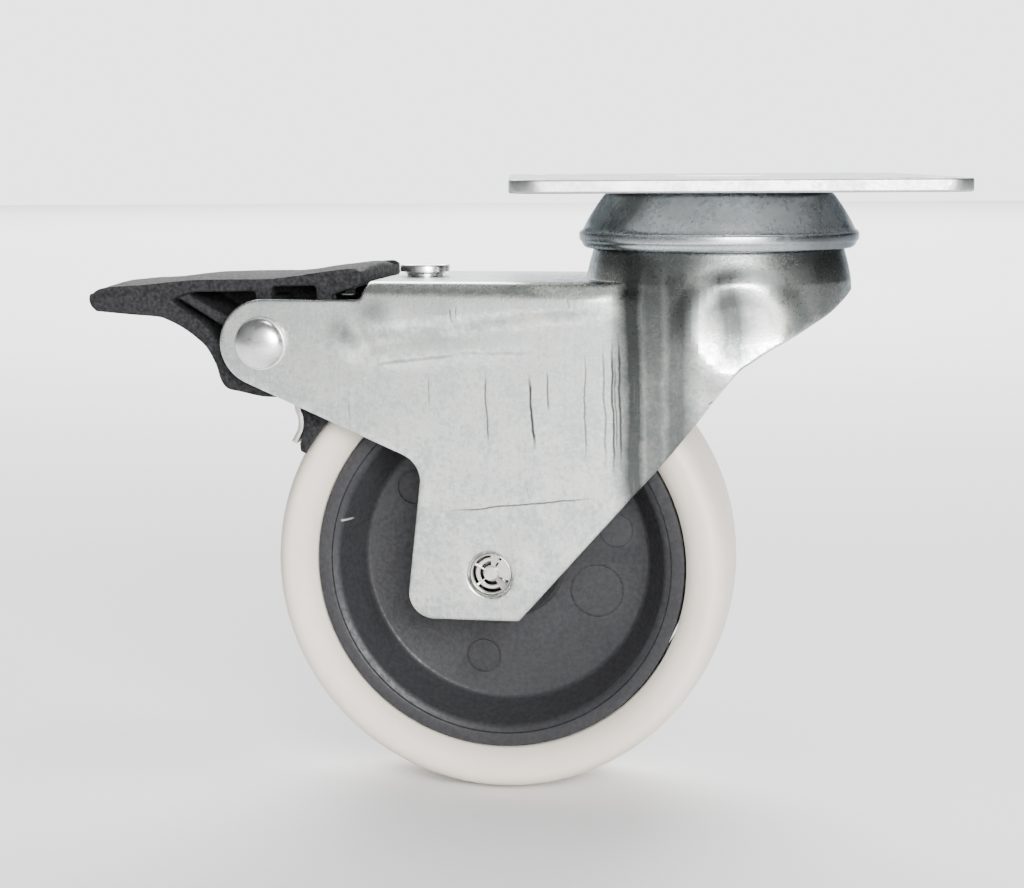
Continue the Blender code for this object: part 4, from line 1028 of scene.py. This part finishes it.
def make_brake_lever():
    line = [(-13.0, -16.95), (-13.05, -18.6)] + arc((-14.0, -18.9), 1.0, 0, -90, 5)
    line += [(-40.0, -19.9)] + through(LEVER_LINE, 5)
    strip = slab("strip_shape", [strip_outline(line, STRIP_THICK)], -STRIP_HALF, STRIP_HALF)
    cuts = [bar("strip_hole", 3.1, -25.0, -15.0, "Z", (LEVER.x, 0.0, 0.0))]
    for side in (-1, 1):
        near, far = side * TONGUE_HALF, side * 20.0
        across = [(-18.5, near), (-10.0, near), (-10.0, far), (-18.5, far)]
        cuts.append(slab("tongue_cut", [across], -25.0, -15.0, "Z"))
    strip = combined(strip, cuts, "DIFFERENCE")
    strip = bevelled(strip, 0.12, 2, 50.0)
    finish_piece(strip, "brake_strip_sprung", "lever", "brake_lever", [STRIP])


SHOE_HALF = 12.0
TREAD_ROOM_HALF = 12.7


def make_brake_shoe():
    """A pad on the strip's end, hollowed to the tread's crowned shape a little way off it."""
    back = [(-66.45, -37.2), (-65.95, -38.7), (-65.85, -40.4), (-66.25, -41.8), (-66.65, -42.9)]
    outline = [(-61.8, -37.6), (-64.8, -37.1)] + back + [(-66.5, -44.1), (-64.5, -45.0), (-60.0, -40.0)]
    pad = slab("shoe_shape", [outline], -SHOE_HALF, SHOE_HALF)
    grown = [(0.0, TREAD_ROOM_HALF), (28.0, TREAD_ROOM_HALF), (33.6, 12.3), (35.4, 12.7), (36.5, 11.4)]
    grown += [(37.4, 9.8), (38.0, 6.8), (38.3, 2.5)]
    tread = revolve("tread_room", mirrored(grown), WHEEL_STEPS, "Y", AXLE)
    pad = combined(pad, [tread], "DIFFERENCE")
    pad = bevelled(pad, 0.2, 2, 40.0)
    finish_piece(pad, "brake_shoe_moulded", "lever", "brake_shoe", [PEDAL_BLACK], sharp=50.0)


def paint_cad_nodes():
    """The inner nodes keep their shapes and get finishes of their own."""
    looks = {
        "kingpin": BRIGHT, "lower_race": SHELL_ZINC, "lock_ring": STRIP, "kingpin_washer": PLATE_ZINC,
        "axle_sleeve": PLATE_ZINC, "near_hub_bush": NYLON, "far_hub_bush": NYLON,
        "upper_ball_cage": NYLON, "lower_ball_cage": NYLON,
    }
    for name, node in frame["nodes"].items():
        material = BRIGHT if "_ball_" in name and "cage" not in name else looks.get(name)
        if material:
            node.data.materials.clear()
            node.data.materials.append(material)


# ---- floor, light and camera --------------------------------------------------------------------
FLOOR_HALF = 4.0  # metres


def make_stage():
    bm = bmesh.new()
    bmesh.ops.create_grid(bm, x_segments=8, y_segments=8, size=FLOOR_HALF)
    floor = from_bmesh("floor", bm)
    floor.location.z = CAD_BOX[0][2]
    n = Nodes("floor_paint", (0.86, 0.86, 0.865), 0.9, 0.0)
    n.normal(n.bump(n.noise(300.0), 0.02, 0.0005))
    floor.data.materials.append(n.material)


def add_light(name, place, aim, size_x, size_y, watts):
    data = bpy.data.lights.new(name, "AREA")
    data.shape = "RECTANGLE"
    data.size, data.size_y = size_x, size_y
    data.energy = watts
    light = bpy.data.objects.new(name, data)
    bpy.context.scene.collection.objects.link(light)
    light.location = place
    light.rotation_euler = (Vector(aim) - Vector(place)).to_track_quat("-Z", "Y").to_euler()


ROOM_ENDS = ((-0.70, -0.97, 1.10), (0.72, 0.965, 3.0))  # Y of a direction: rising from, full from, strength
ROOM_DIM = 0.09  # strength elsewhere, once for each end
ROOM_COLOUR = (0.98, 0.99, 1.0, 1.0)
OBJECT_MIDDLE = (-0.03, 0.0, -0.05)


def make_lights():
    """Soft boxes before and above the castor, two over the floor behind, and a room bright at its ends."""
    world = bpy.data.worlds.new("studio")
    bpy.context.scene.world = world
    world.use_nodes = True
    tree = world.node_tree
    direction = tree.nodes.new("ShaderNodeTexCoord").outputs["Generated"]
    split = tree.nodes.new("ShaderNodeSeparateXYZ")
    tree.links.new(direction, split.inputs["Vector"])
    total = None
    for start, stop, strength in ROOM_ENDS:
        ramp = tree.nodes.new("ShaderNodeMapRange")
        ramp.interpolation_type = "SMOOTHSTEP"
        values = {"From Min": start, "From Max": stop, "To Min": ROOM_DIM, "To Max": strength}
        for socket, value in values.items():
            ramp.inputs[socket].default_value = value
        tree.links.new(split.outputs["Y"], ramp.inputs["Value"])
        if total is None:
            total = ramp.outputs["Result"]
        else:
            add = tree.nodes.new("ShaderNodeMath")
            tree.links.new(total, add.inputs[0])
            tree.links.new(ramp.outputs["Result"], add.inputs[1])
            total = add.outputs["Value"]
    background = tree.nodes["Background"]
    background.inputs["Color"].default_value = ROOM_COLOUR
    tree.links.new(total, background.inputs["Strength"])
    add_light("key", (0.115, -0.55, 0.115), OBJECT_MIDDLE, 0.30, 0.24, 7.6)
    add_light("top", (0.10, -0.10, 0.80), OBJECT_MIDDLE, 0.25, 0.25, 2.2)
    add_light("near_floor", (0.0, 0.9, 0.8), (0.0, 1.1, -0.1), 1.0, 0.8, 22.0)
    add_light("far_floor", (0.0, 2.7, 1.7), (0.0, 2.9, -0.1), 3.2, 2.4, 230.0)


CAMERA_PLACE = (-0.03227, -0.34422, 0.00407)
CAMERA_YAW, CAMERA_PITCH, CAMERA_ROLL = 0.16, -7.8, -0.27  # degrees
SENSOR_WIDTH, LENS = 36.0, 75.2  # millimetres


def make_camera():
    """Level with the plate, a third of a metre off, looking slightly down."""
    data = bpy.data.cameras.new("camera")
    data.sensor_width = SENSOR_WIDTH
    data.lens = LENS
    data.clip_start = 0.01
    camera = bpy.data.objects.new("camera", data)
    bpy.context.scene.collection.objects.link(camera)
    yaw, pitch, roll = (math.radians(angle) for angle in (CAMERA_YAW, CAMERA_PITCH, CAMERA_ROLL))
    turn = Matrix.Rotation(yaw, 4, "Z")
    turn = turn @ Matrix.Rotation(math.radians(90.0) + pitch, 4, "X") @ Matrix.Rotation(roll, 4, "Z")
    camera.matrix_world = Matrix.Translation(CAMERA_PLACE) @ turn
    bpy.context.scene.camera = camera


make_stage()
make_lights()
make_camera()
make_top_plate()
make_race_shell()
make_dust_seal()
make_fork()
make_axle_rivet()
make_pedal_rivet()
make_lever_rivet()
make_tyre()
make_wheel_core()
make_pedal()
make_brake_lever()
make_brake_shoe()
paint_cad_nodes()
